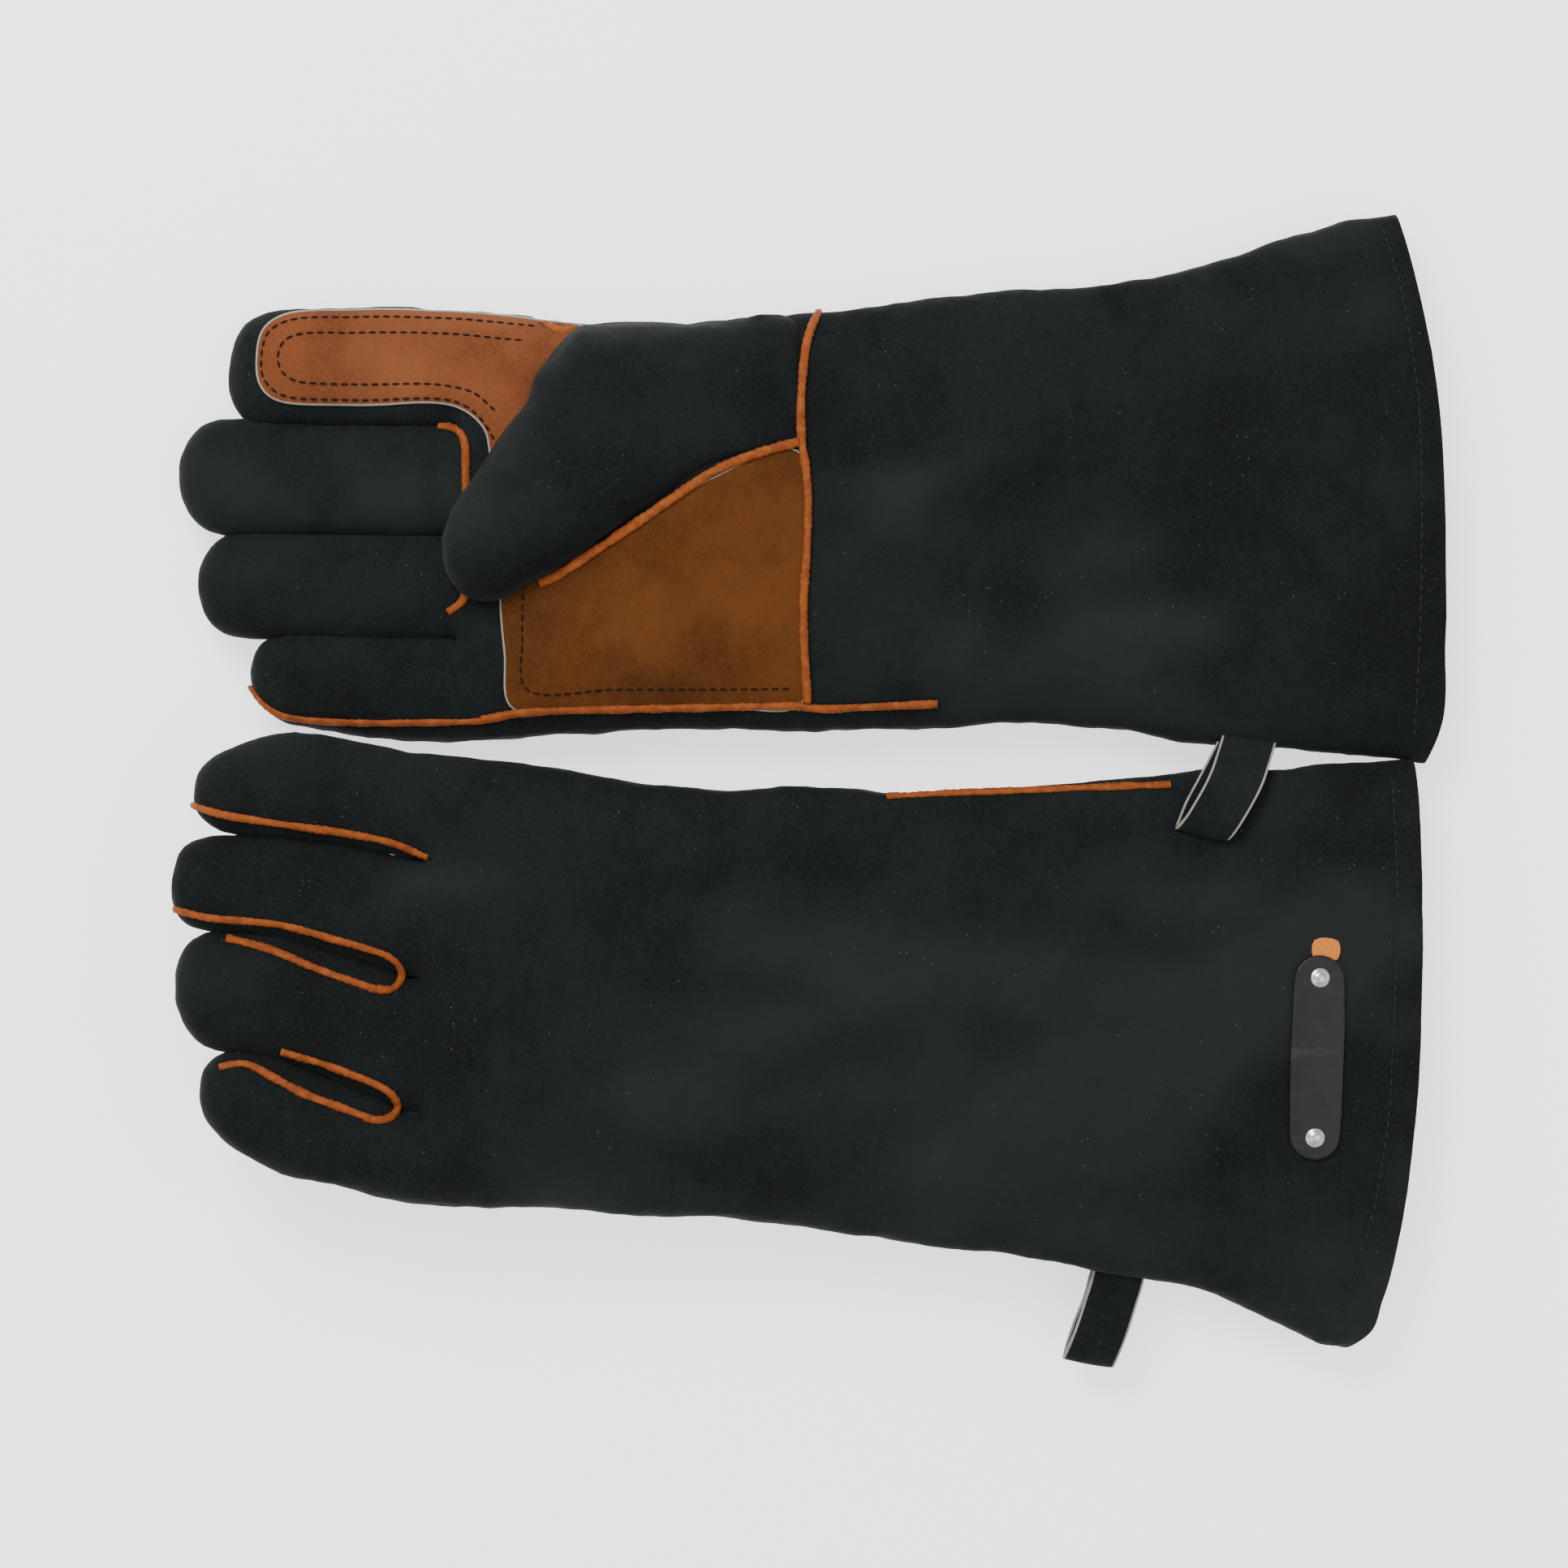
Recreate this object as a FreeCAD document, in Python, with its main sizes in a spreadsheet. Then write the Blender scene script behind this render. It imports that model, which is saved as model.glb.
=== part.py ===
"""A pair of gauntlet welding gloves lying side by side, fingers to -X and cuffs to +X.

The right-hand glove lies palm up on the +Y side, with its thumb folded over the palm.
The left-hand glove lies palm down on the -Y side, on its folded thumb.
Each glove is cut from suede halves that meet on its middle plane, with a lining inside.
Millimetres, +Z up, origin under the middle of the pair, on the surface that it lies on.
"""
import FreeCAD, Part
import math
import os
import Sketcher
from FreeCAD import Placement, Rotation, Vector

# ---------------------------------------------------------------- driving sizes
SIZES = [
    ("leather", 1.4, "thickness of the suede"),
    ("fleece", 1.6, "thickness of the lining"),
    ("slack", 0.1, "space between a lining and its leather"),
    ("knuckle_gap", 0.4, "space between the hand and each finger"),
    ("glove_half", 12.0, "half of a lying glove's thickness"),
    ("glove_rim", 8.0, "rounding along the sides of hand and cuff"),
    ("finger_half", 11.0, "half of a finger's thickness"),
    ("finger_rim", 6.0, "rounding along a finger's sides"),
    ("tip_corner", 11.0, "rounding of a fingertip's outline"),
    ("thumb_half", 8.0, "half of the folded thumb's thickness"),
    ("thumb_rim", 6.0, "rounding along the thumb's sides"),
    ("index_length", 76.0, "index finger, crotch to tip"),
    ("middle_length", 86.0, "middle finger, crotch to tip"),
    ("ring_length", 83.0, "ring finger, crotch to tip"),
    ("little_length", 68.0, "little finger, crotch to tip"),
    ("index_width", 35.0, "index finger at its base"),
    ("middle_width", 33.5, "middle finger at its base"),
    ("ring_width", 30.0, "ring finger at its base"),
    ("little_width", 33.0, "little finger at its base"),
    ("tip_narrowing", 6.0, "how much narrower a finger is at its tip"),
    ("thumb_length", 62.0, "thumb, base to tip"),
    ("thumb_width", 56.0, "thumb at its base"),
    ("thumb_tip_width", 34.0, "thumb at its tip"),
    ("thumb_back", 63.5, "thumb's base, ahead of the wrist"),
    ("thumb_side", 31.6, "thumb's base, to the side of the wrist's middle"),
    ("thumb_turn", 44.0, "turn of the folded thumb across the palm, degrees"),
    ("wing_length", 64.0, "thumb wing, thumb's base to its point at the wrist"),
    ("wing_front", 4.0, "wing's height at the wrist"),
    ("wing_slant", 24.0, "wing's low corner, ahead of its point"),
    ("wing_side", 45.0, "wing's low corner, aside from the thumb's line"),
    ("wing_end", 20.0, "wing's point, aside from the thumb's line"),
    ("wing_wall", 40.0, "wing's solid part, ahead of its point"),
    ("hole_back", 3.0, "thumb hole, behind the thumb's base"),
    ("hole_low", 22.0, "thumb hole's lower side, from the thumb's middle"),
    ("hole_length", 21.0, "thumb hole, along the thumb"),
    ("hole_width", 30.0, "thumb hole, across the thumb"),
    ("cuff_length", 193.0, "wrist seam to the cuff's mouth, thumb side"),
    ("mouth_bulge", 9.0, "how far the mouth's middle stands out"),
    ("right_palm", 111.0, "right glove, wrist seam to finger crotches"),
    ("right_knuckles", 138.0, "right glove's width at the knuckles"),
    ("right_wrist", 136.0, "right glove's width at the wrist"),
    ("right_mouth", 173.0, "right glove's width at the mouth"),
    ("right_knuckle_lean", 0.0, "knuckles' middle, aside from the wrist's"),
    ("right_mouth_lean", 12.5, "mouth's middle, aside from the wrist's"),
    ("right_mouth_skew", 7.5, "how far the mouth's outer corner is ahead"),
    ("left_palm", 117.0, "left glove, wrist seam to finger crotches"),
    ("left_knuckles", 143.0, "left glove's width at the knuckles"),
    ("left_wrist", 140.0, "left glove's width at the wrist"),
    ("left_mouth", 183.0, "left glove's width at the mouth"),
    ("left_knuckle_lean", 8.7, "knuckles' middle, aside from the wrist's"),
    ("left_mouth_lean", -16.5, "mouth's middle, aside from the wrist's"),
    ("left_mouth_skew", -17.0, "how far the mouth's outer corner is ahead"),
    ("right_index_drift", 0.0, "sideways set of each fingertip"),
    ("right_middle_drift", 0.0, "same"),
    ("right_ring_drift", 0.0, "same"),
    ("right_little_drift", 3.0, "same"),
    ("left_index_drift", 7.0, "same"),
    ("left_middle_drift", 13.0, "same"),
    ("left_ring_drift", 16.0, "same"),
    ("left_little_drift", 19.0, "same"),
    ("hand_margin", 1.0, "side leather outside the outer fingers"),
    ("pair_spacing", 154.6, "between the middles of the two wrists"),
    ("welt_width", 2.6, "width of the seam welts"),
    ("welt_height", 2.0, "height of the wrist welt"),
    ("side_welt", 1.6, "how far the side welts stand out"),
    ("patch_margin", 9.0, "palm patch, in from the little finger's side"),
    ("patch_front", 92.5, "palm patch's front edge, ahead of the wrist"),
    ("patch_top", 9.0, "palm patch's upper edge at the wrist"),
    ("patch_turn", 60.0, "palm patch's upper edge turns forward here"),
    ("patch_rise", 88.0, "palm patch's arm begins, ahead of the wrist"),
    ("patch_shoulder", 38.0, "palm patch's arm, where it begins"),
    ("patch_side", 56.0, "palm patch's arm, outer side"),
    ("patch_tip", 108.0, "palm patch's arm ends, ahead of the wrist"),
    ("patch_inner", 30.0, "palm patch's arm, inner side"),
    ("patch_slant", 10.0, "palm patch's inner side, drop to its front edge"),
    ("index_patch_short", 7.0, "index patch ends this far from the tip"),
    ("loop_width", 18.5, "width of a hang loop's strap"),
    ("loop_length", 25.0, "length of a hang loop"),
    ("loop_gap", 7.0, "opening between a hang loop's two layers"),
    ("loop_neck", 8.0, "stretch over which the layers part"),
    ("loop_clear", 2.8, "space between a hang loop and the side seam"),
    ("right_loop_place", 144.5, "right hang loop, behind the wrist"),
    ("left_loop_place", 100.5, "left hang loop, behind the wrist"),
    ("tag_length", 65.0, "name tag"),
    ("tag_width", 16.0, "name tag"),
    ("tag_thickness", 1.6, "name tag"),
    ("tag_place", 162.5, "name tag's middle, behind the wrist"),
    ("tag_side", -16.0, "name tag's middle, aside from the wrist's"),
    ("rivet_radius", 3.0, "rivet head's radius"),
    ("rivet_pitch", 50.6, "between the two rivets"),
    ("flag_width", 7.5, "cloth flag beside the name tag"),
    ("flag_length", 5.0, "same"),
]
FINGERS = ("index", "middle", "ring", "little")
RIGHT_LOOP_RISE = 55.0  # degrees: the right hang loop climbs over the left cuff
CUT_PAST = 14.0       # how far a cut runs past an open end

doc = FreeCAD.newDocument("WeldingGloves")
sheet = doc.addObject("Spreadsheet::Sheet", "Sizes")
for row, (alias, value, note) in enumerate(SIZES, start=1):
    sheet.set(f"A{row}", note)
    sheet.set(f"B{row}", str(value))
    sheet.setAlias(f"B{row}", alias)
doc.recompute()
size = {alias: float(sheet.get(alias)) for alias, _, _ in SIZES}


def cell(alias):
    """The expression that reads one size from the sheet."""
    return f"Sizes.{alias}"


# ---------------------------------------------------------------- drawing helpers
def new_body(label):
    body = doc.addObject("PartDesign::Body", label)
    body.Label = label
    return body


def origin_plane(body, role="XY_Plane"):
    return next(item for item in body.Origin.OriginFeatures if item.Role == role)


def draw(body, name, *loops, plane="XY_Plane", level=None):
    """A sketch of closed polygons; every corner is placed by two expressions."""
    sketch = body.newObject("Sketcher::SketchObject", name)
    sketch.AttachmentSupport = (origin_plane(body, plane), "")
    sketch.MapMode = "FlatFace"
    if level is not None:
        sketch.setExpression("AttachmentOffset.Base.z", level)
    for ring, corners in enumerate(loops):
        first = sketch.GeometryCount
        count = len(corners)
        spread = 120.0 - 60.0 * ring
        turns = [2.0 * math.pi * step / count for step in range(count)]
        start = [Vector(spread * math.cos(turn), spread * math.sin(turn), 0) for turn in turns]
        for step in range(count):
            sketch.addGeometry(Part.LineSegment(start[step], start[(step + 1) % count]), False)
        for step in range(count):
            follower = first + (step + 1) % count
            sketch.addConstraint(Sketcher.Constraint("Coincident", first + step, 2, follower, 1))
        for step, (across, along) in enumerate(corners):
            for kind, rough, wanted in (("DistanceX", start[step].x, across),
                                        ("DistanceY", start[step].y, along)):
                number = sketch.addConstraint(
                    Sketcher.Constraint(kind, -1, 1, first + step, 1, rough))
                sketch.setExpression(f"Constraints[{number}]", wanted)
    return sketch


def pad(body, sketch, length, direction="up"):
    """Pad a sketch up, down or both ways from its plane; length is an expression."""
    feature = body.newObject("PartDesign::Pad", "Pad")
    feature.Profile = sketch
    feature.setExpression("Length", length)
    feature.Reversed = direction == "down"
    if direction == "both":
        feature.SideType = "Symmetric"
    doc.recompute()
    return feature


def pocket(body, sketch, depth, direction="up"):
    """Cut a sketch up, down or both ways from its plane, and check that it cut something."""
    before = body.Tip.Shape.Volume
    feature = body.newObject("PartDesign::Pocket", "Pocket")
    feature.Profile = sketch
    feature.setExpression("Length", depth)
    feature.Reversed = direction == "up"
    if direction == "both":
        feature.SideType = "Symmetric"
    doc.recompute()
    if not feature.Shape.Volume < before - 1.0:
        raise RuntimeError(f"{body.Label}: a cut removed nothing")
    return feature


def round_edges(body, radius, wanted):
    """Fillet the edges of the body's tip that pass the test; radius is an expression."""
    base = body.Tip
    names = [f"Edge{number}" for number, edge in enumerate(base.Shape.Edges, start=1)
             if wanted(edge)]
    if not names:
        raise RuntimeError(f"{body.Label}: no edge to round")
    feature = body.newObject("PartDesign::Fillet", "Fillet")
    feature.Base = (base, names)
    feature.setExpression("Radius", radius)
    doc.recompute()
    return feature


def stands(edge):
    """Whether an edge is vertical."""
    return edge.BoundBox.XLength < 0.01 and edge.BoundBox.YLength < 0.01


def level_with(edge, height):
    """Whether an edge lies at a height above or below the middle plane."""
    box = edge.BoundBox
    return box.ZLength < 0.01 and abs(abs(box.ZMax) - height) < 0.01


# ---------------------------------------------------------------- leather halves and linings
def run_on(near, end):
    """A side line's end, moved on along the line until it is past the open end."""
    (x1, y1), (x2, y2) = near, end
    share = f"{CUT_PAST} / abs(({x2}) - ({x1}))"
    return (f"({x2}) + (({x2}) - ({x1})) * {share}", f"({y2}) + (({y2}) - ({y1})) * {share}")


class Outline:
    """A tube's outline seen from above: two side lines running from -X to +X.

    Each side is a list of (x, y) expressions. closed says whether the -X end is closed.
    """

    def __init__(self, upper, lower, closed, mouth=None):
        self.upper = upper
        self.lower = lower
        self.closed = closed
        self.mouth = mouth or []

    def corners(self, inset="0", cutting=False):
        """The corners, moved inwards by an inset; a cut runs past the open ends."""
        lead = f"({inset})" if self.closed else "0"
        upper = [(x, f"({y}) - ({inset})") for x, y in self.upper]
        lower = [(x, f"({y}) + ({inset})") for x, y in self.lower]
        for side in (upper, lower):
            side[0] = (f"({side[0][0]}) + {lead}", side[0][1])
        mouth = list(self.mouth)
        if cutting:
            for side in (upper, lower):
                side[-1] = run_on(side[-2], side[-1])
                if not self.closed:
                    side[0] = run_on(side[1], side[0])
            mouth = [(f"({x}) + {CUT_PAST}", y) for x, y in mouth]
        return upper + mouth + lower[::-1]


def rounded_block(label, outline, half, rim, direction, inset, corner, cutting=False):
    """A solid block over an outline, its sides rounded along their whole length."""
    body = new_body(label)
    ways = 2 if direction == "both" else 1
    sketch = draw(body, "Outline", outline.corners(inset, cutting))
    pad(body, sketch, f"{ways} * ({half})", direction)
    if corner:
        tip = min(vertex.X for vertex in body.Tip.Shape.Vertexes)
        round_edges(body, corner, lambda edge: stands(edge) and edge.BoundBox.XMax < tip + 1.0)
    height = max(abs(vertex.Z) for vertex in body.Tip.Shape.Vertexes)
    ends = [face for face in body.Tip.Shape.Faces if is_open_end(face, outline.closed)]
    round_edges(body, rim, lambda edge: level_with(edge, height) and not on_faces(edge, ends))
    return body


def shell(label, outline, half, rim, wall, direction, inset="0", corner=None):
    """A hollow half, or a whole sleeve, with rounded sides and open ends.

    half, rim, wall, inset and corner are expressions; direction is up, down or both.
    """
    tighter = f"({corner}) - ({wall})" if corner else None
    outside = rounded_block(f"{label}_outside", outline, half, rim, direction, inset, corner)
    inside = rounded_block(f"{label}_inside", outline, f"({half}) - ({wall})",
                           f"({rim}) - ({wall})", "both", f"({inset}) + ({wall})", tighter,
                           cutting=True)
    hollow = doc.addObject("Part::Cut", label)
    hollow.Label = label
    hollow.Base = outside
    hollow.Tool = inside
    doc.recompute()
    return hollow


def is_open_end(face, closed):
    """Whether a face is the cut end of a tube: upright and square to its length."""
    if face.Surface.TypeId != "Part::GeomPlane":
        return False
    normal = face.normalAt(0, 0)
    if abs(normal.z) > 0.01 or abs(normal.x) < 0.9:
        return False
    return not closed or normal.x > 0


def on_faces(edge, faces):
    """Whether an edge's middle lies on one of some flat faces."""
    middle = edge.valueAt((edge.FirstParameter + edge.LastParameter) / 2.0)
    return any(face.distToShape(Part.Vertex(middle))[0] < 0.01 for face in faces)


# ---------------------------------------------------------------- the glove's outlines
def half_of(expression):
    return f"({expression}) / 2"


def hand_sides(side, first, last):
    """The glove's two side lines between stations: knuckles, wrist and mouth."""
    stations = ["knuckles", "wrist", "mouth"]
    places = {
        "knuckles": (f"-Sizes.{side}_palm", f"Sizes.{side}_knuckle_lean"),
        "wrist": ("0", "0"),
        "mouth": ("Sizes.cuff_length", f"Sizes.{side}_mouth_lean"),
    }
    upper = []
    lower = []
    for station in stations[stations.index(first):stations.index(last) + 1]:
        x, lean = places[station]
        width = half_of(f"Sizes.{side}_{station}")
        upper.append((x, f"{lean} + {width}"))
        low_x = f"{x} + Sizes.{side}_mouth_skew" if station == "mouth" else x
        lower.append((low_x, f"{lean} - {width}"))
    return upper, lower


def hand_outline(side, first, last):
    upper, lower = hand_sides(side, first, last)
    mouth = []
    if last == "mouth":
        middle = f"Sizes.cuff_length + Sizes.{side}_mouth_skew / 2 + Sizes.mouth_bulge"
        mouth = [(middle, f"Sizes.{side}_mouth_lean")]
    return Outline(upper, lower, closed=False, mouth=mouth)


def finger_outline(side, finger):
    """A finger's outline from its base at x = 0 to its tip, set aside by its drift."""
    base = half_of(f"Sizes.{finger}_width")
    tip = half_of(f"Sizes.{finger}_width - Sizes.tip_narrowing")
    drift = f"Sizes.{side}_{finger}_drift"
    reach = f"-Sizes.{finger}_length"
    upper = [(reach, f"{drift} + {tip}"), ("0", base)]
    lower = [(reach, f"{drift} - {tip}"), ("0", f"-{base}")]
    return Outline(upper, lower, closed=True)


def thumb_outline():
    base = half_of("Sizes.thumb_width")
    tip = half_of("Sizes.thumb_tip_width")
    reach = "-Sizes.thumb_length"
    return Outline([(reach, tip), ("0", base)], [(reach, f"-{tip}"), ("0", f"-{base}")],
                   closed=True)


def finger_middle(side, finger):
    """How far the middle of a finger's base is from the middle of the knuckles."""
    widths = [size[f"{name}_width"] for name in FINGERS]
    across = size[f"{side}_knuckles"]
    space = (across - sum(widths) - 2.0 * size["hand_margin"]) / (len(FINGERS) - 1)
    place = FINGERS.index(finger)
    passed = sum(widths[:place]) + place * space
    return across / 2.0 - size["hand_margin"] - passed - widths[place] / 2.0


# ---------------------------------------------------------------- pieces
def plate(label, corners, level, thickness, direction="up"):
    """A flat piece: a polygon that starts at a level and has a thickness."""
    body = new_body(label)
    outline = draw(body, "Outline", corners, level=level)
    pad(body, outline, thickness, direction)
    return body


def palm_level(palm, half):
    """The palm side's surface as an expression, above or below the middle plane."""
    return half if palm == "up" else f"-{half}"


def side_welt(label, line, outwards):
    """A welt that runs along one side seam, on the middle plane."""
    body = new_body(label)
    outer = [(x, f"{y} {outwards} Sizes.side_welt") for x, y in line]
    outline = draw(body, "Outline", line + outer[::-1])
    pad(body, outline, cell("welt_width"), "both")
    return body


def palm_patch(label, side, palm):
    """An L-shaped reinforcement: over the palm, and forward below the index finger."""
    low = f"-Sizes.{side}_wrist / 2 + Sizes.patch_margin"
    front = "-Sizes.patch_front"
    corners = [
        (front, low), ("-Sizes.welt_width", low), ("-Sizes.welt_width", "Sizes.patch_top"),
        ("-Sizes.patch_turn", "Sizes.patch_top"), ("-Sizes.patch_rise", "Sizes.patch_shoulder"),
        ("-Sizes.patch_rise", "Sizes.patch_side"), ("-Sizes.patch_tip", "Sizes.patch_side"),
        ("-Sizes.patch_tip", "Sizes.patch_inner"), (front, "Sizes.patch_inner - Sizes.patch_slant"),
    ]
    return plate(label, corners, palm_level(palm, cell("glove_half")), cell("leather"), palm)


def index_patch(label, side, palm):
    """The reinforcement over the front of the index finger."""
    base = "Sizes.index_width / 2 - Sizes.finger_rim"
    tip = "(Sizes.index_width - Sizes.tip_narrowing) / 2 - Sizes.finger_rim"
    drift = f"Sizes.{side}_index_drift"
    reach = "Sizes.index_patch_short - Sizes.index_length"
    corners = [(reach, f"{drift} + {tip}"), ("-4", base), ("-4", f"-({base})"),
               (reach, f"{drift} - ({tip})")]
    level = palm_level(palm, cell("finger_half"))
    body = plate(label, corners, level, cell("leather"), palm)
    round_edges(body, f"({tip}) / 2",
                lambda edge: stands(edge) and edge.BoundBox.XMax < -size["index_length"] / 2)
    return body


def thumb_wing(label, palm):
    """The raised leather between the wrist and the thumb's base, sloping to the wrist."""
    body = new_body(label)
    half = half_of(cell("thumb_width"))
    gap = cell("knuckle_gap")
    far = cell("wing_length")
    corners = [(gap, half), (gap, f"-{half}"),
               (f"{far} - Sizes.wing_slant", "-Sizes.wing_side"), (far, "-Sizes.wing_end")]
    level = palm_level(palm, cell("glove_half"))
    height = "Sizes.leather + Sizes.knuckle_gap + 2 * Sizes.thumb_half"
    pad(body, draw(body, "Outside", corners, level=level), height, palm)
    sign = "" if palm == "up" else "-"
    top = f"{sign}(Sizes.glove_half + {height} + 1)"
    low = f"{sign}(Sizes.glove_half + Sizes.wing_front)"
    slope = draw(body, "Slope", [(f"{gap} + Sizes.thumb_half", top), (f"{far} + 1", top), (f"{far} + 1", low)],
                 plane="XZ_Plane")
    pocket(body, slope, "4 * Sizes.thumb_width", "both")
    wall = cell("leather")
    inner = [(f"{gap} - 1", f"{half} - 2 * {wall}"), (f"{gap} - 1", f"-{half} + 2 * {wall}"),
             (f"{far} - Sizes.wing_wall", f"-{half}"), (f"{far} - 0.8 * Sizes.wing_wall", "0")]
    hollow = draw(body, "Inside", inner, level=level)
    pocket(body, hollow, f"{height} - 6 * {wall}", palm)
    return body


def hang_loop(label):
    """A strap folded back on itself: its layers part from the neck and meet at the far end."""
    body = new_body(label)
    wall = cell("leather")
    neck = cell("loop_neck")
    length = cell("loop_length")
    gap = half_of(cell("loop_gap"))
    outer = [("0", wall), (f"-{neck}", f"{gap} + {wall}"), (f"-{length}", f"{gap} + {wall}"),
             (f"-{length}", f"-{gap} - {wall}"), (f"-{neck}", f"-{gap} - {wall}"),
             ("0", f"-{wall}")]
    inner = [(f"-{neck} / 2", "0.2"), (f"-{neck} - 1", gap), (f"-{length} + {wall}", gap),
             (f"-{length} + {wall}", f"-{gap}"), (f"-{neck} - 1", f"-{gap}"),
             (f"-{neck} / 2", "-0.2")]
    outline = draw(body, "Fold", outer, inner, plane="YZ_Plane")
    pad(body, outline, cell("loop_width"), "both")
    end = -size["loop_length"]
    round_edges(body, cell("loop_gap") + " / 3",
                lambda edge: edge.BoundBox.YMax < end + 0.01 and edge.BoundBox.ZLength < 0.01)
    return body


def tag_rivets(label):
    """Two domed rivet heads on the name tag."""
    dome_angle = 40.0
    heads = []
    for number, sign in enumerate(("", "-"), start=1):
        head = doc.addObject("Part::Sphere", f"Rivet{number}")
        head.Angle1 = dome_angle
        head.setExpression("Radius", f"Sizes.rivet_radius / cos({dome_angle} deg)")
        head.setExpression("Placement.Base.y", f"{sign}Sizes.rivet_pitch / 2")
        head.setExpression("Placement.Base.z", f"-Sizes.rivet_radius * tan({dome_angle} deg)")
        heads.append(head)
    pair = doc.addObject("Part::Compound", label)
    pair.Label = label
    pair.Links = heads
    return pair


# ---------------------------------------------------------------- placing the gloves
def glove_place(side):
    """Where a glove's own frame is: the middle of its wrist, on its middle plane."""
    if side == "right":
        return Placement(Vector(0, size["pair_spacing"] / 2.0, size["glove_half"]), Rotation())
    thumb_rise = size["leather"] + size["knuckle_gap"] + 2.0 * size["thumb_half"]
    slope = math.atan2(thumb_rise, size["cuff_length"] + size["thumb_back"])
    tilt = Rotation(Vector(0, 1, 0), math.degrees(slope))
    return Placement(Vector(0, -size["pair_spacing"] / 2.0, 0), tilt)


def finger_place(side, finger):
    """A finger's own frame: the middle of its base, on the middle plane."""
    x = -size[f"{side}_palm"] - size["knuckle_gap"]
    y = size[f"{side}_knuckle_lean"] + finger_middle(side, finger)
    return Placement(Vector(x, y, 0), Rotation())


def thumb_place(palm):
    """The thumb's own frame: the middle of its base, on its own middle plane."""
    lift = (size["glove_half"] + size["leather"] + size["knuckle_gap"] + size["thumb_half"])
    z = lift if palm == "up" else -lift
    turn = Rotation(Vector(0, 0, 1), size["thumb_turn"])
    return Placement(Vector(-size["thumb_back"], size["thumb_side"], z), turn)


def wing_place():
    """The wing shares the thumb's frame in plan, and the glove's middle plane."""
    turn = Rotation(Vector(0, 0, 1), size["thumb_turn"])
    return Placement(Vector(-size["thumb_back"], size["thumb_side"], 0), turn)


def loop_place(side):
    """A hang loop's own frame: just outside the little finger's side of the cuff."""
    x = size[f"{side}_loop_place"]
    share = x / (size["cuff_length"] + size[f"{side}_mouth_skew"])
    wrist_edge = -size[f"{side}_wrist"] / 2.0
    mouth_edge = size[f"{side}_mouth_lean"] - size[f"{side}_mouth"] / 2.0
    edge = wrist_edge + share * (mouth_edge - wrist_edge)
    if side == "left":
        return Placement(Vector(x, edge - size["side_welt"] - size["loop_clear"], 0), Rotation())
    rise = math.radians(RIGHT_LOOP_RISE)
    middle_y = edge + size["glove_rim"]
    middle_z = size["glove_half"] - size["glove_rim"]
    reach = size["glove_rim"] + size["loop_clear"]
    seat = Vector(x, middle_y - reach * math.cos(rise), middle_z + reach * math.sin(rise))
    return Placement(seat, Rotation(Vector(1, 0, 0), -RIGHT_LOOP_RISE))


# ---------------------------------------------------------------- building
parts = []


def keep(item, side, place=Placement()):
    """Place a finished piece and put it on the list of sub-parts."""
    item.Placement = glove_place(side) * place
    parts.append(item)
    return item


def with_thumb_hole(label, whole, palm):
    """Cut the way through to the thumb, below its wing, in a palm or its lining."""
    tool = doc.addObject("Part::Box", f"{label}_hole")
    for name, alias in (("Length", "hole_length"), ("Width", "hole_width"),
                        ("Height", "glove_half")):
        tool.setExpression(name, cell(alias))
    low = 2.0 if palm == "up" else -2.0 - size["glove_half"]
    seat = Placement(Vector(size["hole_back"], -size["hole_low"], low), Rotation())
    tool.Placement = wing_place() * seat
    hollow = doc.addObject("Part::Cut", label)
    hollow.Label = label
    hollow.Base = whole
    hollow.Tool = tool
    doc.recompute()
    return hollow


def build_finger(side, finger, palm, back):
    outline = finger_outline(side, finger)
    name = f"{side}_{finger}"
    place = finger_place(side, finger)
    half = cell("finger_half")
    rim = cell("finger_rim")
    wall = cell("leather")
    corner = cell("tip_corner")
    keep(shell(f"{name}_front", outline, half, rim, wall, palm, corner=corner), side, place)
    keep(shell(f"{name}_back", outline, half, rim, wall, back, corner=corner), side, place)
    inset = "Sizes.leather + Sizes.slack"
    keep(shell(f"{name}_lining", outline, f"{half} - ({inset})", f"{rim} - ({inset})",
               cell("fleece"), "both", inset, f"{corner} - ({inset})"), side, place)


def build_thumb(side, palm, back):
    outline = thumb_outline()
    place = thumb_place(palm)
    half = cell("thumb_half")
    rim = cell("thumb_rim")
    wall = cell("leather")
    corner = cell("tip_corner")
    for face, way in (("outer", palm), ("inner", back)):
        label = f"{side}_thumb_{face}"
        keep(shell(label, outline, half, rim, wall, way, corner=corner), side, place)
    inset = "Sizes.leather + Sizes.slack"
    keep(shell(f"{side}_thumb_lining", outline, f"{half} - ({inset})", f"{rim} - ({inset})",
               cell("fleece"), "both", inset, f"{corner} - ({inset})"), side, place)
    keep(thumb_wing(f"{side}_thumb_wing", palm), side, wing_place())


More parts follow.
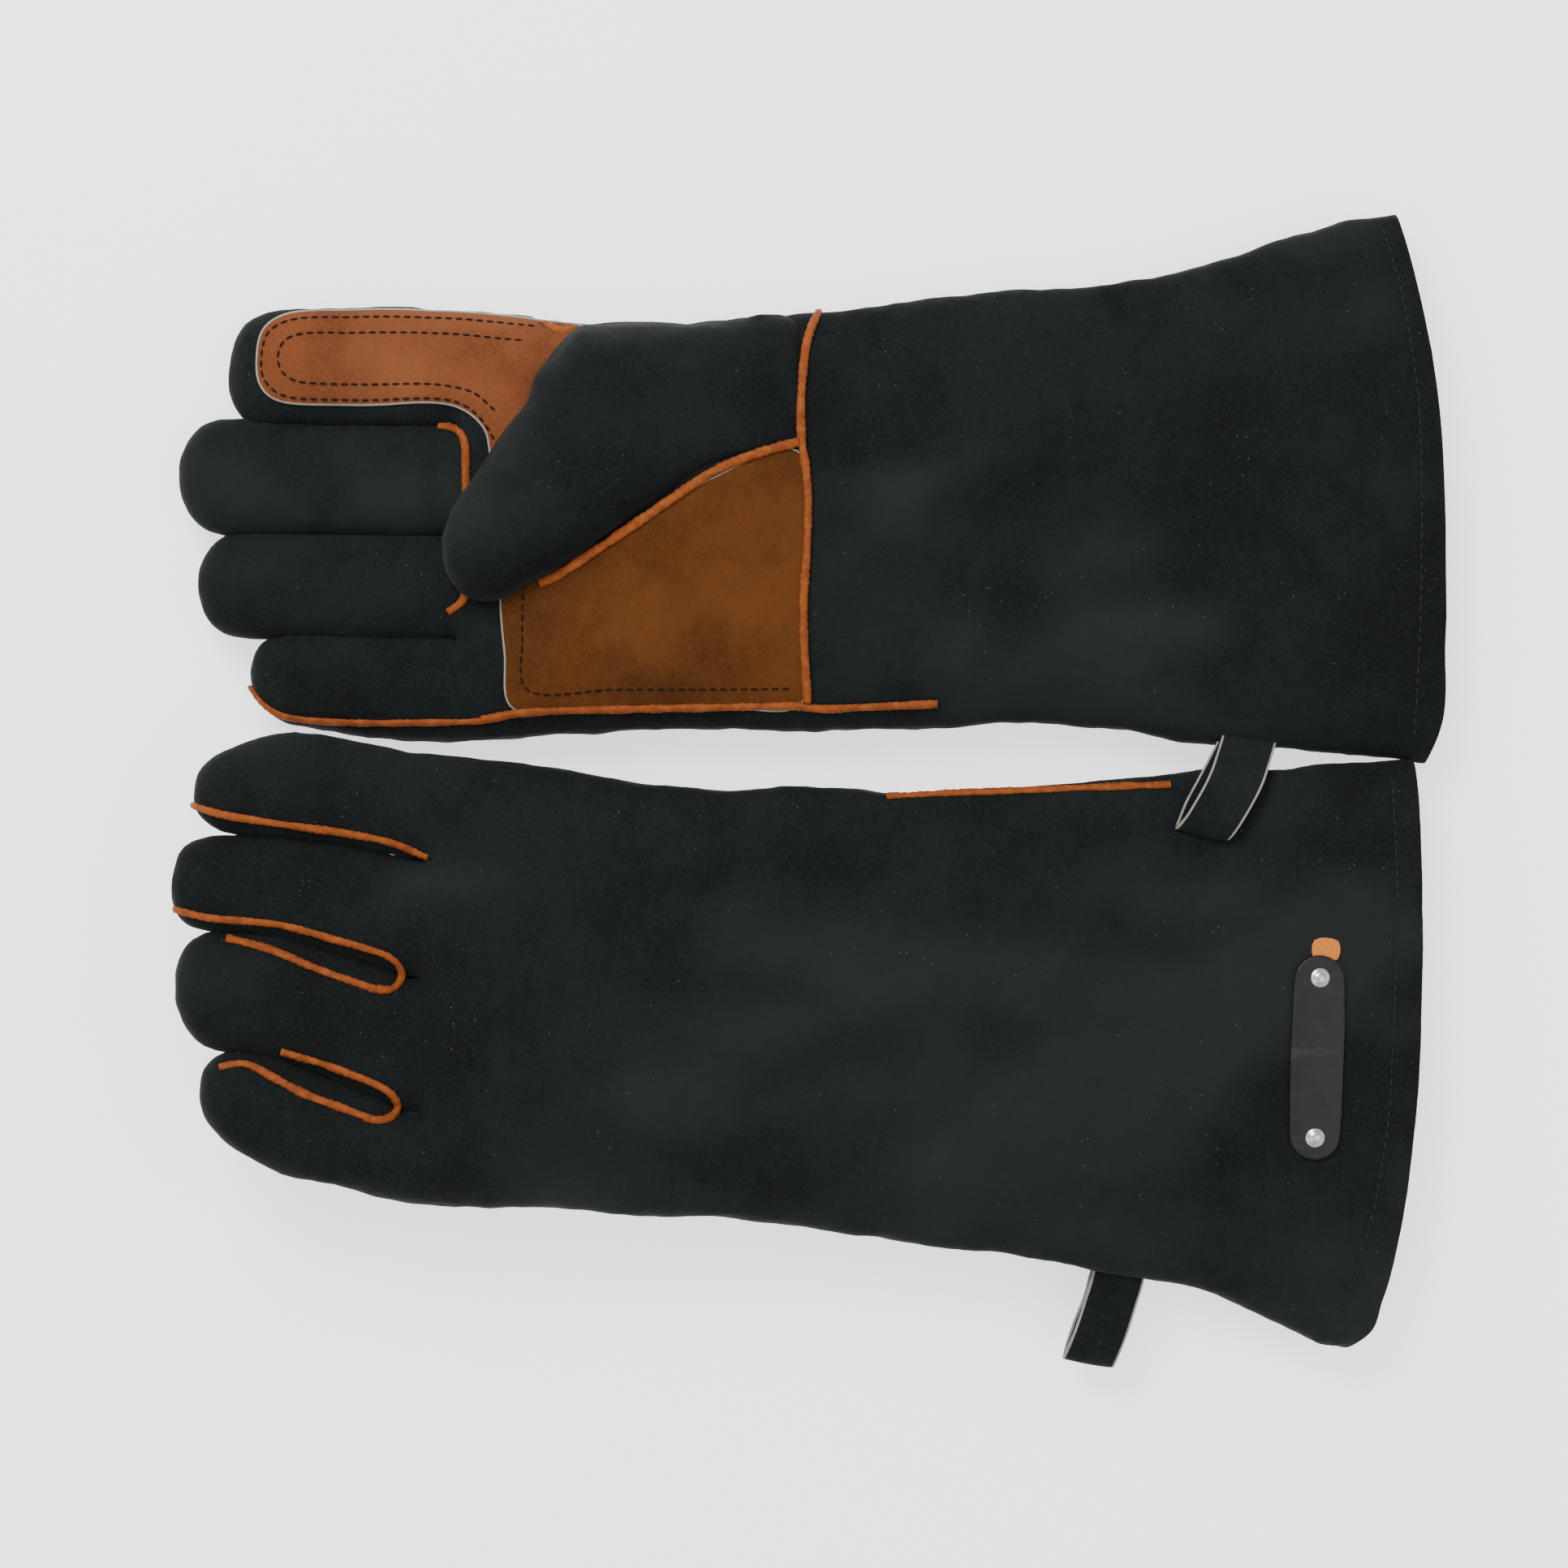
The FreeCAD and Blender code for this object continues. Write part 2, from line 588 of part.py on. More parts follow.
def build_hand(side, palm, back):
    half = cell("glove_half")
    rim = cell("glove_rim")
    wall = cell("leather")
    whole = hand_outline(side, "knuckles", "mouth")
    palm_part = hand_outline(side, "knuckles", "wrist")
    cuff_part = hand_outline(side, "wrist", "mouth")
    keep(shell(f"{side}_back", whole, half, rim, wall, back), side)
    flesh = shell(f"{side}_palm_whole", palm_part, half, rim, wall, palm)
    keep(with_thumb_hole(f"{side}_palm", flesh, palm), side)
    keep(shell(f"{side}_cuff_front", cuff_part, half, rim, wall, palm), side)
    inset = "Sizes.leather + Sizes.slack"
    depth = f"{half} - ({inset})"
    inner_rim = f"{rim} - ({inset})"
    fleece = cell("fleece")
    sleeve = shell(f"{side}_hand_sleeve", palm_part, depth, inner_rim, fleece, "both", inset)
    keep(with_thumb_hole(f"{side}_hand_lining", sleeve, palm), side)
    keep(shell(f"{side}_cuff_lining", cuff_part, depth, inner_rim, fleece, "both", inset), side)
    upper, lower = hand_sides(side, "knuckles", "mouth")
    keep(side_welt(f"{side}_thumb_side_welt", upper, "+"), side)
    keep(side_welt(f"{side}_little_side_welt", lower, "-"), side)
    keep(palm_patch(f"{side}_palm_patch", side, palm), side)
    reach = f"Sizes.{side}_wrist / 2 - Sizes.glove_rim"
    thick = half_of(cell("welt_width"))
    strip = [(f"-{thick}", reach), (thick, reach), (thick, f"-({reach})"),
             (f"-{thick}", f"-({reach})")]
    keep(plate(f"{side}_wrist_welt", strip, palm_level(palm, half), cell("welt_height"), palm),
         side)


def build_tag():
    """The name tag, its rivets and the cloth flag, on the back of the left cuff."""
    across = half_of(cell("tag_width"))
    along = half_of(cell("tag_length"))
    place = Placement(Vector(size["tag_place"], size["tag_side"], 0), Rotation())
    corners = [(f"-{across}", along), (across, along), (across, f"-{along}"),
               (f"-{across}", f"-{along}")]
    tag = plate("left_name_tag", corners, cell("glove_half"), cell("tag_thickness"))
    round_edges(tag, f"{across} - 0.1", stands)
    keep(tag, "left", place)
    top = size["glove_half"] + size["tag_thickness"]
    keep(tag_rivets("left_tag_rivets"), "left", place * Placement(Vector(0, 0, top), Rotation()))
    flag = half_of(cell("flag_width"))
    near = f"{along} + Sizes.slack"
    far = f"{near} + Sizes.flag_length"
    cloth = [(f"-{flag}", near), (flag, near), (flag, far), (f"-{flag}", far)]
    keep(plate("left_flag", cloth, cell("glove_half"), cell("leather")), "left", place)


for side, palm, back in (("left", "down", "up"), ("right", "up", "down")):
    build_hand(side, palm, back)
    for finger in FINGERS:
        build_finger(side, finger, palm, back)
    build_thumb(side, palm, back)
    keep(index_patch(f"{side}_index_patch", side, palm), side, finger_place(side, "index"))
    keep(hang_loop(f"{side}_hang_loop"), side, loop_place(side))
build_tag()
doc.recompute()

# ---------------------------------------------------------------- standing the pair on the origin
def joined_box(items):
    box = FreeCAD.BoundBox()
    for item in items:
        box.add(item.Shape.optimalBoundingBox(False))
    return box


left_box = joined_box([item for item in parts if item.Label.startswith("left")])
for item in parts:
    if item.Label.startswith("left"):
        item.Placement = Placement(Vector(0, 0, -left_box.ZMin), Rotation()) * item.Placement
pair_box = joined_box(parts)
home = Placement(Vector(-pair_box.Center.x, -pair_box.Center.y, -pair_box.ZMin), Rotation())
for item in parts:
    item.Placement = home * item.Placement
doc.recompute()

# ---------------------------------------------------------------- checking and writing
for item in doc.Objects:
    if "Invalid" in item.State or "Error" in item.State:
        raise RuntimeError(f"{item.Label}: {item.State}")
for item in parts:
    if item.Shape.isNull() or not item.Shape.isValid() or item.Shape.Volume < 1.0:
        raise RuntimeError(f"{item.Label}: not a valid solid")

os.makedirs("parts", exist_ok=True)
for item in parts:
    item.Shape.exportStep(f"parts/{item.Label}.step")
final_box = joined_box(parts)
print(f"{len(parts)} sub-parts, {final_box}")
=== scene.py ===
"""A pair of suede gauntlet welding gloves lying side by side, seen from above."""
import logging
import math
from dataclasses import dataclass
from enum import Enum
from typing import Iterable, Sequence

import bpy
import numpy as np
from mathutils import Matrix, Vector, noise
from mathutils.bvhtree import BVHTree
from mathutils.geometry import delaunay_2d_cdt
from mathutils.kdtree import KDTree


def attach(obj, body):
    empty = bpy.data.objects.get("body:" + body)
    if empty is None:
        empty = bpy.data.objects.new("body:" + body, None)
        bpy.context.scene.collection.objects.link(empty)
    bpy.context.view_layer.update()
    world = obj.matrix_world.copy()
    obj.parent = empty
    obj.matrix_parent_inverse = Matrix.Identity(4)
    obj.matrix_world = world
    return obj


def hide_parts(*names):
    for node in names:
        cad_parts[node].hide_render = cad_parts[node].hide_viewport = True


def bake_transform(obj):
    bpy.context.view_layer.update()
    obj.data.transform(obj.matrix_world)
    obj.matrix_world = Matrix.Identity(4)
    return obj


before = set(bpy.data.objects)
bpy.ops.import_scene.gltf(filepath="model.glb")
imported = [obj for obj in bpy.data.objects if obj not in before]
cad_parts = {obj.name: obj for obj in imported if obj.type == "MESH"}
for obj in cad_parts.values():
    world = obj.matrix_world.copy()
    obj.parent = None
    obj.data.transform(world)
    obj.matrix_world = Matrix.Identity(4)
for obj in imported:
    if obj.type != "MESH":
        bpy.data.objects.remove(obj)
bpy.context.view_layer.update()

LOG = logging.getLogger("gloves")
MM = 0.001
TOP_STEPS = 22        # ring points across one finger's top
HAND_STEPS = 80       # ring points across the hand's top
SIDE_STEPS = 10       # ring points round one side
STATION_STEP = 2.0    # millimetres between rings
SECTION_EDGE = 0.86   # share of the half width where a section's top ends
FINGER_POWER = 2.3    # how square a finger's section is
HAND_POWER = 3.6      # how square the hand's section is
TIP_REACH = 16.0      # length of a fingertip's rounding
TIP_STEPS = 12        # rings in that length
TIP_DEPTH = (3.0, 2.2)  # powers of a fingertip's thickness
SKIN_VOXEL, SKIN_PASSES = 1.7, 7
THUMB_VOXEL, THUMB_PASSES = 1.6, 8
CLOTH_VOXEL, CLOTH_PASSES = 5.0, 2
CLOTH_PRESSURE, CLOTH_FRAMES = 4.0, 20
PUFF_CAP = 3.0        # the furthest that the cloth may move a point
PUFF_ASIDE = 0.35     # share of its sideways movement that is kept
MOUTH_POWER = 1.5     # how late along the cuff the mouth's line takes over
FLOOR_GAP = 0.1       # between the floor and the lowest leather
STITCH_PITCH, STITCH_LENGTH, THREAD = 3.3, 2.5, 0.75
ON_PATCH, ON_SKIN = 1.5, 0.15   # how high a stitch lies above the glove's skin
# The leather's unevenness: height, feature size, stretch along X and Y, and shift along Z.
UNEVENNESS = ((1.25, 42.0, 0.7, 1.0, 0.0), (1.05, 17.0, 1.0, 0.8, 90.0),
              (0.36, 6.5, 1.0, 1.0, 30.0), (0.10, 2.6, 1.0, 1.0, 60.0))

Point = tuple[float, float]
Array = np.ndarray


# ------------------------------------------------------------------ shader helpers
class Sock:
    """A shader socket that takes part in Python arithmetic."""

    def __init__(self, shader: "Shader", socket: bpy.types.NodeSocket) -> None:
        """Wrap one output socket of a shader's tree."""
        self.shader = shader
        self.socket = socket

    def _math(self, operation: str, *values: object) -> "Sock":
        """Add a Math node and return its result."""
        return self.shader.node("ShaderNodeMath", {"operation": operation},
                                dict(enumerate(values)))

    def __add__(self, other: object) -> "Sock":
        """Sum."""
        return self._math("ADD", self, other)

    def __rsub__(self, other: object) -> "Sock":
        """Reflected difference, so that 1 - mask works."""
        return self._math("SUBTRACT", other, self)

    def __mul__(self, other: object) -> "Sock":
        """Product."""
        return self._math("MULTIPLY", self, other)

    __radd__ = __add__
    __rmul__ = __mul__

    def above(self, low: float, high: float) -> "Sock":
        """A smooth step: 0 at low and under, 1 at high and over."""
        return self.shader.node(
            "ShaderNodeMapRange", {"interpolation_type": "SMOOTHSTEP"},
            {"Value": self, "From Min": low, "From Max": high, "To Min": 0.0, "To Max": 1.0})


class Shader:
    """One material's node tree and its Principled shader."""

    def __init__(self, name: str) -> None:
        """Start an empty material with a Principled shader.

        Args:
            name: The material's name.
        """
        self.material = bpy.data.materials.new(name)
        self.material.use_nodes = True
        self.tree = self.material.node_tree
        self.tree.nodes.clear()
        output = self.tree.nodes.new("ShaderNodeOutputMaterial")
        self.surface = self.tree.nodes.new("ShaderNodeBsdfPrincipled")
        self.tree.links.new(self.surface.outputs["BSDF"], output.inputs["Surface"])

    def node(self, kind: str, settings: dict | None = None, values: dict | None = None,
             output: int | str = 0) -> Sock:
        """Add any node.

        Args:
            kind: The node's type.
            settings: Attributes of the node, set first.
            values: Input name or number to a number, colour or Sock.
            output: Which output to return.

        Returns:
            The chosen output.
        """
        made = self.tree.nodes.new(kind)
        for key, value in (settings or {}).items():
            setattr(made, key, value)
        for key, value in (values or {}).items():
            if isinstance(value, Sock):
                self.tree.links.new(value.socket, made.inputs[key])
            else:
                made.inputs[key].default_value = value
        return Sock(self, made.outputs[output])

    def place(self) -> Sock:
        """Object coordinates, in metres."""
        return self.node("ShaderNodeTexCoord", output="Object")

    def noise(self, scale: float, detail: float = 2.0, rough: float = 0.5,
              stretch: tuple[float, float, float] = (1.0, 1.0, 1.0), turn: float = 0.0) -> Sock:
        """Noise over the object's own coordinates, from 0 to 1.

        Args:
            scale: Features per metre.
            detail: How many finer layers.
            rough: The finer layers' strength.
            stretch: Scale along each axis.
            turn: Turn about Z, in radians.

        Returns:
            The noise.
        """
        seat = self.node("ShaderNodeMapping", None, {
            "Vector": self.place(), "Scale": stretch, "Rotation": (0.0, 0.0, turn)})
        return self.node("ShaderNodeTexNoise", None, {
            "Vector": seat, "Scale": scale, "Detail": detail, "Roughness": rough})

    def specks(self, scale: float, radius: float) -> Sock:
        """Scattered round specks: 1 in a speck and 0 elsewhere.

        Args:
            scale: Specks per metre.
            radius: A speck's radius, as a share of its cell.

        Returns:
            The specks' mask.
        """
        cell = self.node("ShaderNodeTexVoronoi", {"feature": "F1"},
                         {"Vector": self.place(), "Scale": scale, "Randomness": 1.0})
        return 1.0 - cell.above(radius * 0.6, radius)

    def blend(self, share: Sock | float, first: object, second: object) -> Sock:
        """Mix two colours.

        Args:
            share: How much of the second.
            first: A colour or Sock.
            second: A colour or Sock.

        Returns:
            The mixed colour.
        """
        return self.node("ShaderNodeMix", {"data_type": "RGBA"},
                         {0: share, 6: first, 7: second}, output=2)

    def finish(self, colour: object, roughness: object, height: Sock | None = None,
               depth: float = 0.0002, **fixed: float) -> bpy.types.Material:
        """Join colour, roughness and height to the shader.

        Args:
            colour: Base colour, a Sock or a tuple.
            roughness: Roughness, a Sock or a number.
            height: Height for the bump, from 0 to 1.
            depth: The bump's distance in metres.
            **fixed: Principled inputs that are the same all over, spaces as underscores.

        Returns:
            The finished material.
        """
        for key, value in (("Base Color", colour), ("Roughness", roughness)):
            if isinstance(value, Sock):
                self.tree.links.new(value.socket, self.surface.inputs[key])
            else:
                self.surface.inputs[key].default_value = value
        if height is not None:
            bump = self.node("ShaderNodeBump", None,
                             {"Strength": 1.0, "Distance": depth, "Height": height}, "Normal")
            self.tree.links.new(bump.socket, self.surface.inputs["Normal"])
        for key, value in fixed.items():
            self.surface.inputs[key.replace("_", " ")].default_value = value
        return self.material


Colour = tuple[float, float, float, float]


@dataclass(frozen=True)
class Suede:
    """Napped leather: mottled, lighter in brushed patches and nap flecks, partly the nap's real
    brushed tone and partly a painted sheen highlight, with a few light fibres on it.
    """

    name: str
    dark: Colour
    light: Colour
    brushed_sheen: Colour
    lint: float = 0.5

    def material(self) -> bpy.types.Material:
        """The suede's material.

        Returns:
            The material.
        """
        shader = Shader(self.name)
        clouds = shader.noise(22.0, 3.0, 0.6)
        brushed_sheen_patches = shader.noise(9.0, 2.0, 0.55, (1.0, 1.6, 1.0), 0.5)
        nap = shader.noise(900.0, 3.0, 0.7)
        grain = shader.noise(240.0, 3.0, 0.65, (1.0, 0.6, 1.0), 0.3)
        tone = shader.blend((clouds * 0.75 + grain * 0.25).above(0.36, 0.64), self.dark, self.light)
        # Brushed patches and nap flecks are blended towards a lighter colour: partly the nap's real
        # brushed tone, partly a painted sheen highlight.
        tone = shader.blend(brushed_sheen_patches.above(0.5, 0.68) * 0.55, tone, self.brushed_sheen)
        tone = shader.blend(nap.above(0.35, 0.75) * 0.35, tone, self.brushed_sheen)
        fibres = shader.specks(330.0, 0.075) * shader.noise(60.0).above(0.5, 0.62)
        tone = shader.blend(fibres * self.lint, tone, (0.30, 0.32, 0.30, 1.0))
        rough = 0.86 + nap * 0.12
        height = nap * 0.5 + grain * 0.9
        return shader.finish(tone, rough, height, 0.00045, Sheen_Weight=0.04,
                             Sheen_Roughness=0.4, Specular_IOR_Level=0.14)


@dataclass(frozen=True)
class Strip:
    """Smooth strip leather, creased across by the stitching and darker in its dents."""

    name: str
    base: Colour
    worn: Colour

    def material(self) -> bpy.types.Material:
        """The strip leather's material.

        Returns:
            The material.
        """
        shader = Shader(self.name)
        dents = shader.noise(320.0, 3.0, 0.6)
        wear = shader.noise(70.0, 2.0, 0.5)
        tone = shader.blend(dents.above(0.35, 0.7), self.base, self.worn)
        tone = shader.blend(wear.above(0.45, 0.75) * 0.5, tone, self.worn)
        return shader.finish(tone, 0.6 + wear * 0.3, dents, 0.0003, Specular_IOR_Level=0.2)


@dataclass(frozen=True)
class Cloth:
    """Woven or fleecy cloth."""

    name: str
    base: Colour
    light: Colour
    weave: float
    sheen: float = 0.3

    def material(self) -> bpy.types.Material:
        """The cloth's material.

        Returns:
            The material.
        """
        shader = Shader(self.name)
        along = shader.node("ShaderNodeTexWave", {"wave_type": "BANDS", "bands_direction": "X"},
                            {"Vector": shader.place(), "Scale": self.weave, "Distortion": 1.5})
        across = shader.node("ShaderNodeTexWave", {"wave_type": "BANDS", "bands_direction": "Y"},
                             {"Vector": shader.place(), "Scale": self.weave, "Distortion": 1.5})
        fuzz = shader.noise(500.0, 3.0, 0.7)
        weave = along * across * 0.6 + fuzz * 0.5
        tone = shader.blend(weave.above(0.15, 0.75), self.base, self.light)
        return shader.finish(tone, 0.9 + fuzz * 0.08, weave, 0.0003, Sheen_Weight=self.sheen,
                             Specular_IOR_Level=0.2)


@dataclass(frozen=True)
class Gloss:
    """Coated leather with a fine grain and rubbed streaks."""

    name: str
    base: Colour
    worn: Colour

    def material(self) -> bpy.types.Material:
        """The coated leather's material.

        Returns:
            The material.
        """
        shader = Shader(self.name)
        grain = shader.noise(700.0, 4.0, 0.65)
        scuffs = shader.noise(120.0, 4.0, 0.7, (0.25, 1.0, 1.0))
        tone = shader.blend(scuffs.above(0.5, 0.7) * 0.5, self.base, self.worn)
        rough = 0.3 + scuffs * 0.25
        return shader.finish(tone, rough, grain, 0.00018, Specular_IOR_Level=0.3)


@dataclass(frozen=True)
class Metal:
    """Nickel plate with fine rubbing marks."""

    name: str
    base: Colour

    def material(self) -> bpy.types.Material:
        """The metal's material.

        Returns:
            The material.
        """
        shader = Shader(self.name)
        marks = shader.noise(900.0, 3.0, 0.6, (0.2, 1.0, 1.0))
        tone = shader.blend(marks.above(0.4, 0.8) * 0.4, self.base, (0.35, 0.34, 0.33, 1.0))
        return shader.finish(tone, 0.2 + marks * 0.18, marks, 0.00005, Metallic=1.0)


class Finish(Enum):
    """The finishes of the pair."""

    # Each suede's third colour is its brushed tone with a painted sheen highlight in it.
    BLACK = Suede("soot_suede", (0.0026, 0.0034, 0.0036, 1.0), (0.0058, 0.0078, 0.0078, 1.0),
                  (0.016, 0.021, 0.0198, 1.0), 0.32)
    BROWN = Suede("brown_suede", (0.095, 0.026, 0.0085, 1.0), (0.155, 0.044, 0.014, 1.0),
                  (0.22, 0.075, 0.028, 1.0), 0.05)
    TAN = Suede("tan_suede", (0.046, 0.0135, 0.0022, 1.0), (0.085, 0.026, 0.0042, 1.0),
                (0.125, 0.043, 0.0085, 1.0), 0.03)
    RAW = Suede("raw_edge", (0.16, 0.15, 0.13, 1.0), (0.28, 0.265, 0.235, 1.0),
                (0.36, 0.34, 0.30, 1.0), 0.0)
    WELT = Strip("welt_strip_leather", (0.17, 0.036, 0.0052, 1.0), (0.27, 0.066, 0.0105, 1.0))
    FLEECE = Cloth("fleece", (0.30, 0.28, 0.25, 1.0), (0.5, 0.48, 0.44, 1.0), 400.0)
    FLAG = Cloth("orange_tape", (0.62, 0.17, 0.012, 1.0), (0.8, 0.27, 0.03, 1.0), 700.0)
    TAG = Gloss("tag_leather", (0.006, 0.006, 0.007, 1.0), (0.03, 0.03, 0.032, 1.0))
    NICKEL = Metal("nickel", (0.62, 0.60, 0.57, 1.0))
    DARK_THREAD = Cloth("dark_thread", (0.012, 0.006, 0.004, 1.0), (0.05, 0.022, 0.012, 1.0),
                        3000.0, 0.0)
    GREY_THREAD = Cloth("grey_thread", (0.02, 0.023, 0.022, 1.0), (0.055, 0.06, 0.058, 1.0),
                        3000.0, 0.0)

    def material(self) -> bpy.types.Material:
        """The finish's material, made once."""
        return bpy.data.materials.get(self.value.name) or self.value.material()


# ------------------------------------------------------------------ curves and rings
def smooth(values_at: Sequence[float], values: Sequence[float], wanted: Array) -> Array:
    """A smooth curve through a few values (Hermite, with averaged slopes).

    Args:
        values_at: Where the values are, in rising order.
        values: The values.
        wanted: Where the curve is wanted.

    Returns:
        The curve at those places.
    """
    xs = np.array(values_at, float)
    ys = np.array(values, float)
    slopes = np.gradient(ys, xs)
    place = np.clip(np.searchsorted(xs, wanted) - 1, 0, len(xs) - 2)
    span = xs[place + 1] - xs[place]
    t = np.clip((wanted - xs[place]) / span, 0.0, 1.0)
    first = (1 + 2 * t) * (1 - t) ** 2 * ys[place] + t * (1 - t) ** 2 * span * slopes[place]
    second = t * t * (3 - 2 * t) * ys[place + 1] - t * t * (1 - t) * span * slopes[place + 1]
    return first + second


def step01(value: Array | float) -> Array:
    """Smoothstep of a value already scaled to 0 to 1."""
    t = np.clip(value, 0.0, 1.0)
    return t * t * (3 - 2 * t)


@dataclass(frozen=True)
class Run:
    """A tube's plan along X: at each station its two edges and half its thickness."""

    stations: tuple[tuple[float, float, float, float], ...]

    def at(self, x: Array) -> tuple[Array, Array, Array]:
        """Low edge, high edge and half thickness at some places along X."""
        xs, lows, highs, halves = zip(*self.stations)
        return smooth(xs, lows, x), smooth(xs, highs, x), smooth(xs, halves, x)


def side_arc(power: float, share: float, steps: int) -> Array:
    """Points of a superellipse's side, from its top at a share of the width to its bottom.

    Args:
        power: How square the section is.
        share: The share of the width where the top ends.
        steps: How many steps.

    Returns:
        Points across and up, on unit sizes.
    """
    start = math.acos(share ** (power / 2.0))
    turns = np.linspace(start, -start, steps + 1)
    across = np.abs(np.cos(turns)) ** (2.0 / power)
    up = np.sign(np.sin(turns)) * np.abs(np.sin(turns)) ** (2.0 / power)
    return np.stack([across, up], 1)


def ring(shares: Array, power: float, edge: float) -> Array:
    """A closed section on unit width and height: top, high side, bottom, low side.

    Args:
        shares: Places across the top, from -1 to 1.
        power: How square the section is.
        edge: The share of the width where the top ends.

    Returns:
        The section's points.
    """
    top = np.stack([shares, (1 - np.abs(shares) ** power) ** (1.0 / power)], 1)
    arc = side_arc(power, edge, SIDE_STEPS)
    high = arc[1:-1]
    low = arc[::-1][1:-1] * (-1.0, 1.0)
    bottom = top[::-1] * (1.0, -1.0)
    return np.concatenate([top, high, bottom, low])


def rings_to_faces(count: int, size: int) -> list[tuple[int, ...]]:
    """Quads between neighbouring closed rings, ordered so that faces point outwards.

    Args:
        count: How many rings.
        size: Points in a ring.

    Returns:
        The quads.
    """
    faces = []
    for station in range(count - 1):
        for step in range(size):
            ahead = (step + 1) % size
            low = station * size
            high = low + size
            faces.append((low + step, low + ahead, high + ahead, high + step))
    return faces


def new_piece(name: str, points: Array, faces: list, finishes: Sequence[Finish],
              slots: Sequence[int] | None = None) -> bpy.types.Object:
    """Make an object from points in metres.

    Args:
        name: The piece's name.
        points: Its points.
        faces: Its faces.
        finishes: Its finishes in slot order.
        slots: The slot of each face.

    Returns:
        The object, linked to the scene.
    """
    mesh = bpy.data.meshes.new(name)
    mesh.from_pydata([tuple(p) for p in points], [], [tuple(f) for f in faces])
    for finish in finishes:
        mesh.materials.append(finish.material())
    if slots is not None:
        mesh.polygons.foreach_set("material_index", list(slots))
    mesh.polygons.foreach_set("use_smooth", [True] * len(mesh.polygons))
    mesh.validate()
    mesh.update()
    piece = bpy.data.objects.new(name, mesh)
    bpy.context.scene.collection.objects.link(piece)
    return piece


def fractal(x: float, y: float, z: float, scale: float) -> float:
    """Signed noise at a place given in millimetres, with a feature size."""
    return noise.noise(Vector((x / scale, y / scale, z / scale)))


# ------------------------------------------------------------------ lofts and soft forms
@dataclass(frozen=True)
class Finger:
    """One finger's plan: where its tip is and its edges and half thickness along X."""

    name: str
    tip: float
    run: Run

    def loft(self, base: float, spare: Point) -> tuple[Array, list]:
        """A closed tube from the rounded tip to a place inside the hand.

        Args:
            base: Where the tube ends, inside the hand.
            spare: How much narrower it is made on its low and high sides.

        Returns:
            Points in millimetres and faces.
        """
        turns = np.linspace(0.12, math.pi / 2, TIP_STEPS)
        near = self.tip + TIP_REACH * (1 - np.cos(turns))
        far = np.arange(self.tip + TIP_REACH + STATION_STEP, base, STATION_STEP)
        x = np.concatenate([near, far])
        low, high, half = self.run.at(x)
        low, high = low + spare[0], high - spare[1]
        round_off = np.clip(1 - (x - self.tip) / TIP_REACH, 0.0, 1.0)
        width = (1 - round_off ** FINGER_POWER) ** (1 / FINGER_POWER)
        depth = (1 - round_off ** TIP_DEPTH[0]) ** (1 / TIP_DEPTH[1])
        middle, wide = (low + high) / 2, (high - low) / 2 * width
        return tube(x, middle, wide, half * depth, TOP_STEPS, FINGER_POWER)


def tube(x: Array, middle: Array, wide: Array, half: Array, steps: int,
         power: float) -> tuple[Array, list]:
    """A closed tube along X.

    Args:
        x: Where its rings are.
        middle: Each ring's middle across.
        wide: Each ring's half width.
        half: Each ring's half thickness.
        steps: Points across a ring's top.
        power: How square the section is.

    Returns:
        Points in millimetres and faces, with both ends closed.
    """
    shares = np.linspace(-SECTION_EDGE, SECTION_EDGE, steps)
    section = ring(shares, power, SECTION_EDGE)
    size = len(section)
    points = np.zeros((len(x), size, 3))
    points[..., 0] = x[:, None]
    points[..., 1] = middle[:, None] + wide[:, None] * section[None, :, 0]
    points[..., 2] = half[:, None] * section[None, :, 1]
    faces = rings_to_faces(len(x), size)
    faces.append(tuple(range(size)))
    faces.append(tuple(range((len(x) - 1) * size, len(x) * size))[::-1])
    return points.reshape(-1, 3), faces


def joined(shapes: Iterable[tuple[Array, list]]) -> tuple[Array, list]:
    """Put several shapes' points and faces together.

    Args:
        shapes: Points and faces of each shape.

    Returns:
        The points and the renumbered faces.
    """
    points: list[Array] = []
    faces: list = []
    start = 0
    for some, more in shapes:
        points.append(some)
        faces += [tuple(i + start for i in face) for face in more]
        start += len(some)
    return np.concatenate(points), faces


def read_mesh(piece: bpy.types.Object) -> tuple[Array, list, Array]:
    """An evaluated object's points and normals, in millimetres, and its faces.

    Args:
        piece: The object.

    Returns:
        Points, faces and normals.
    """
    graph = bpy.context.evaluated_depsgraph_get()
    mesh = bpy.data.meshes.new_from_object(piece.evaluated_get(graph))
    points = np.zeros(len(mesh.vertices) * 3)
    normals = np.zeros(len(mesh.vertices) * 3)
    mesh.vertices.foreach_get("co", points)
    mesh.vertex_normals.foreach_get("vector", normals)
    faces = [tuple(face.vertices) for face in mesh.polygons]
    bpy.data.meshes.remove(mesh)
    return points.reshape(-1, 3) / MM, faces, normals.reshape(-1, 3)


def draft(points: Array, faces: list) -> bpy.types.Object:
    """A scratch object, in metres, that is deleted after use.

    Args:
        points: The points, in millimetres.
        faces: The faces.

    Returns:
        The object.
    """
    mesh = bpy.data.meshes.new("draft")
    mesh.from_pydata([tuple(p * MM) for p in points], [], faces)
    piece = bpy.data.objects.new("draft", mesh)
    bpy.context.scene.collection.objects.link(piece)
    return piece


def drop(piece: bpy.types.Object) -> None:
    """Delete a scratch object and its mesh.

    Args:
        piece: The object.
    """
    mesh = piece.data
    bpy.data.objects.remove(piece)
    bpy.data.meshes.remove(mesh)


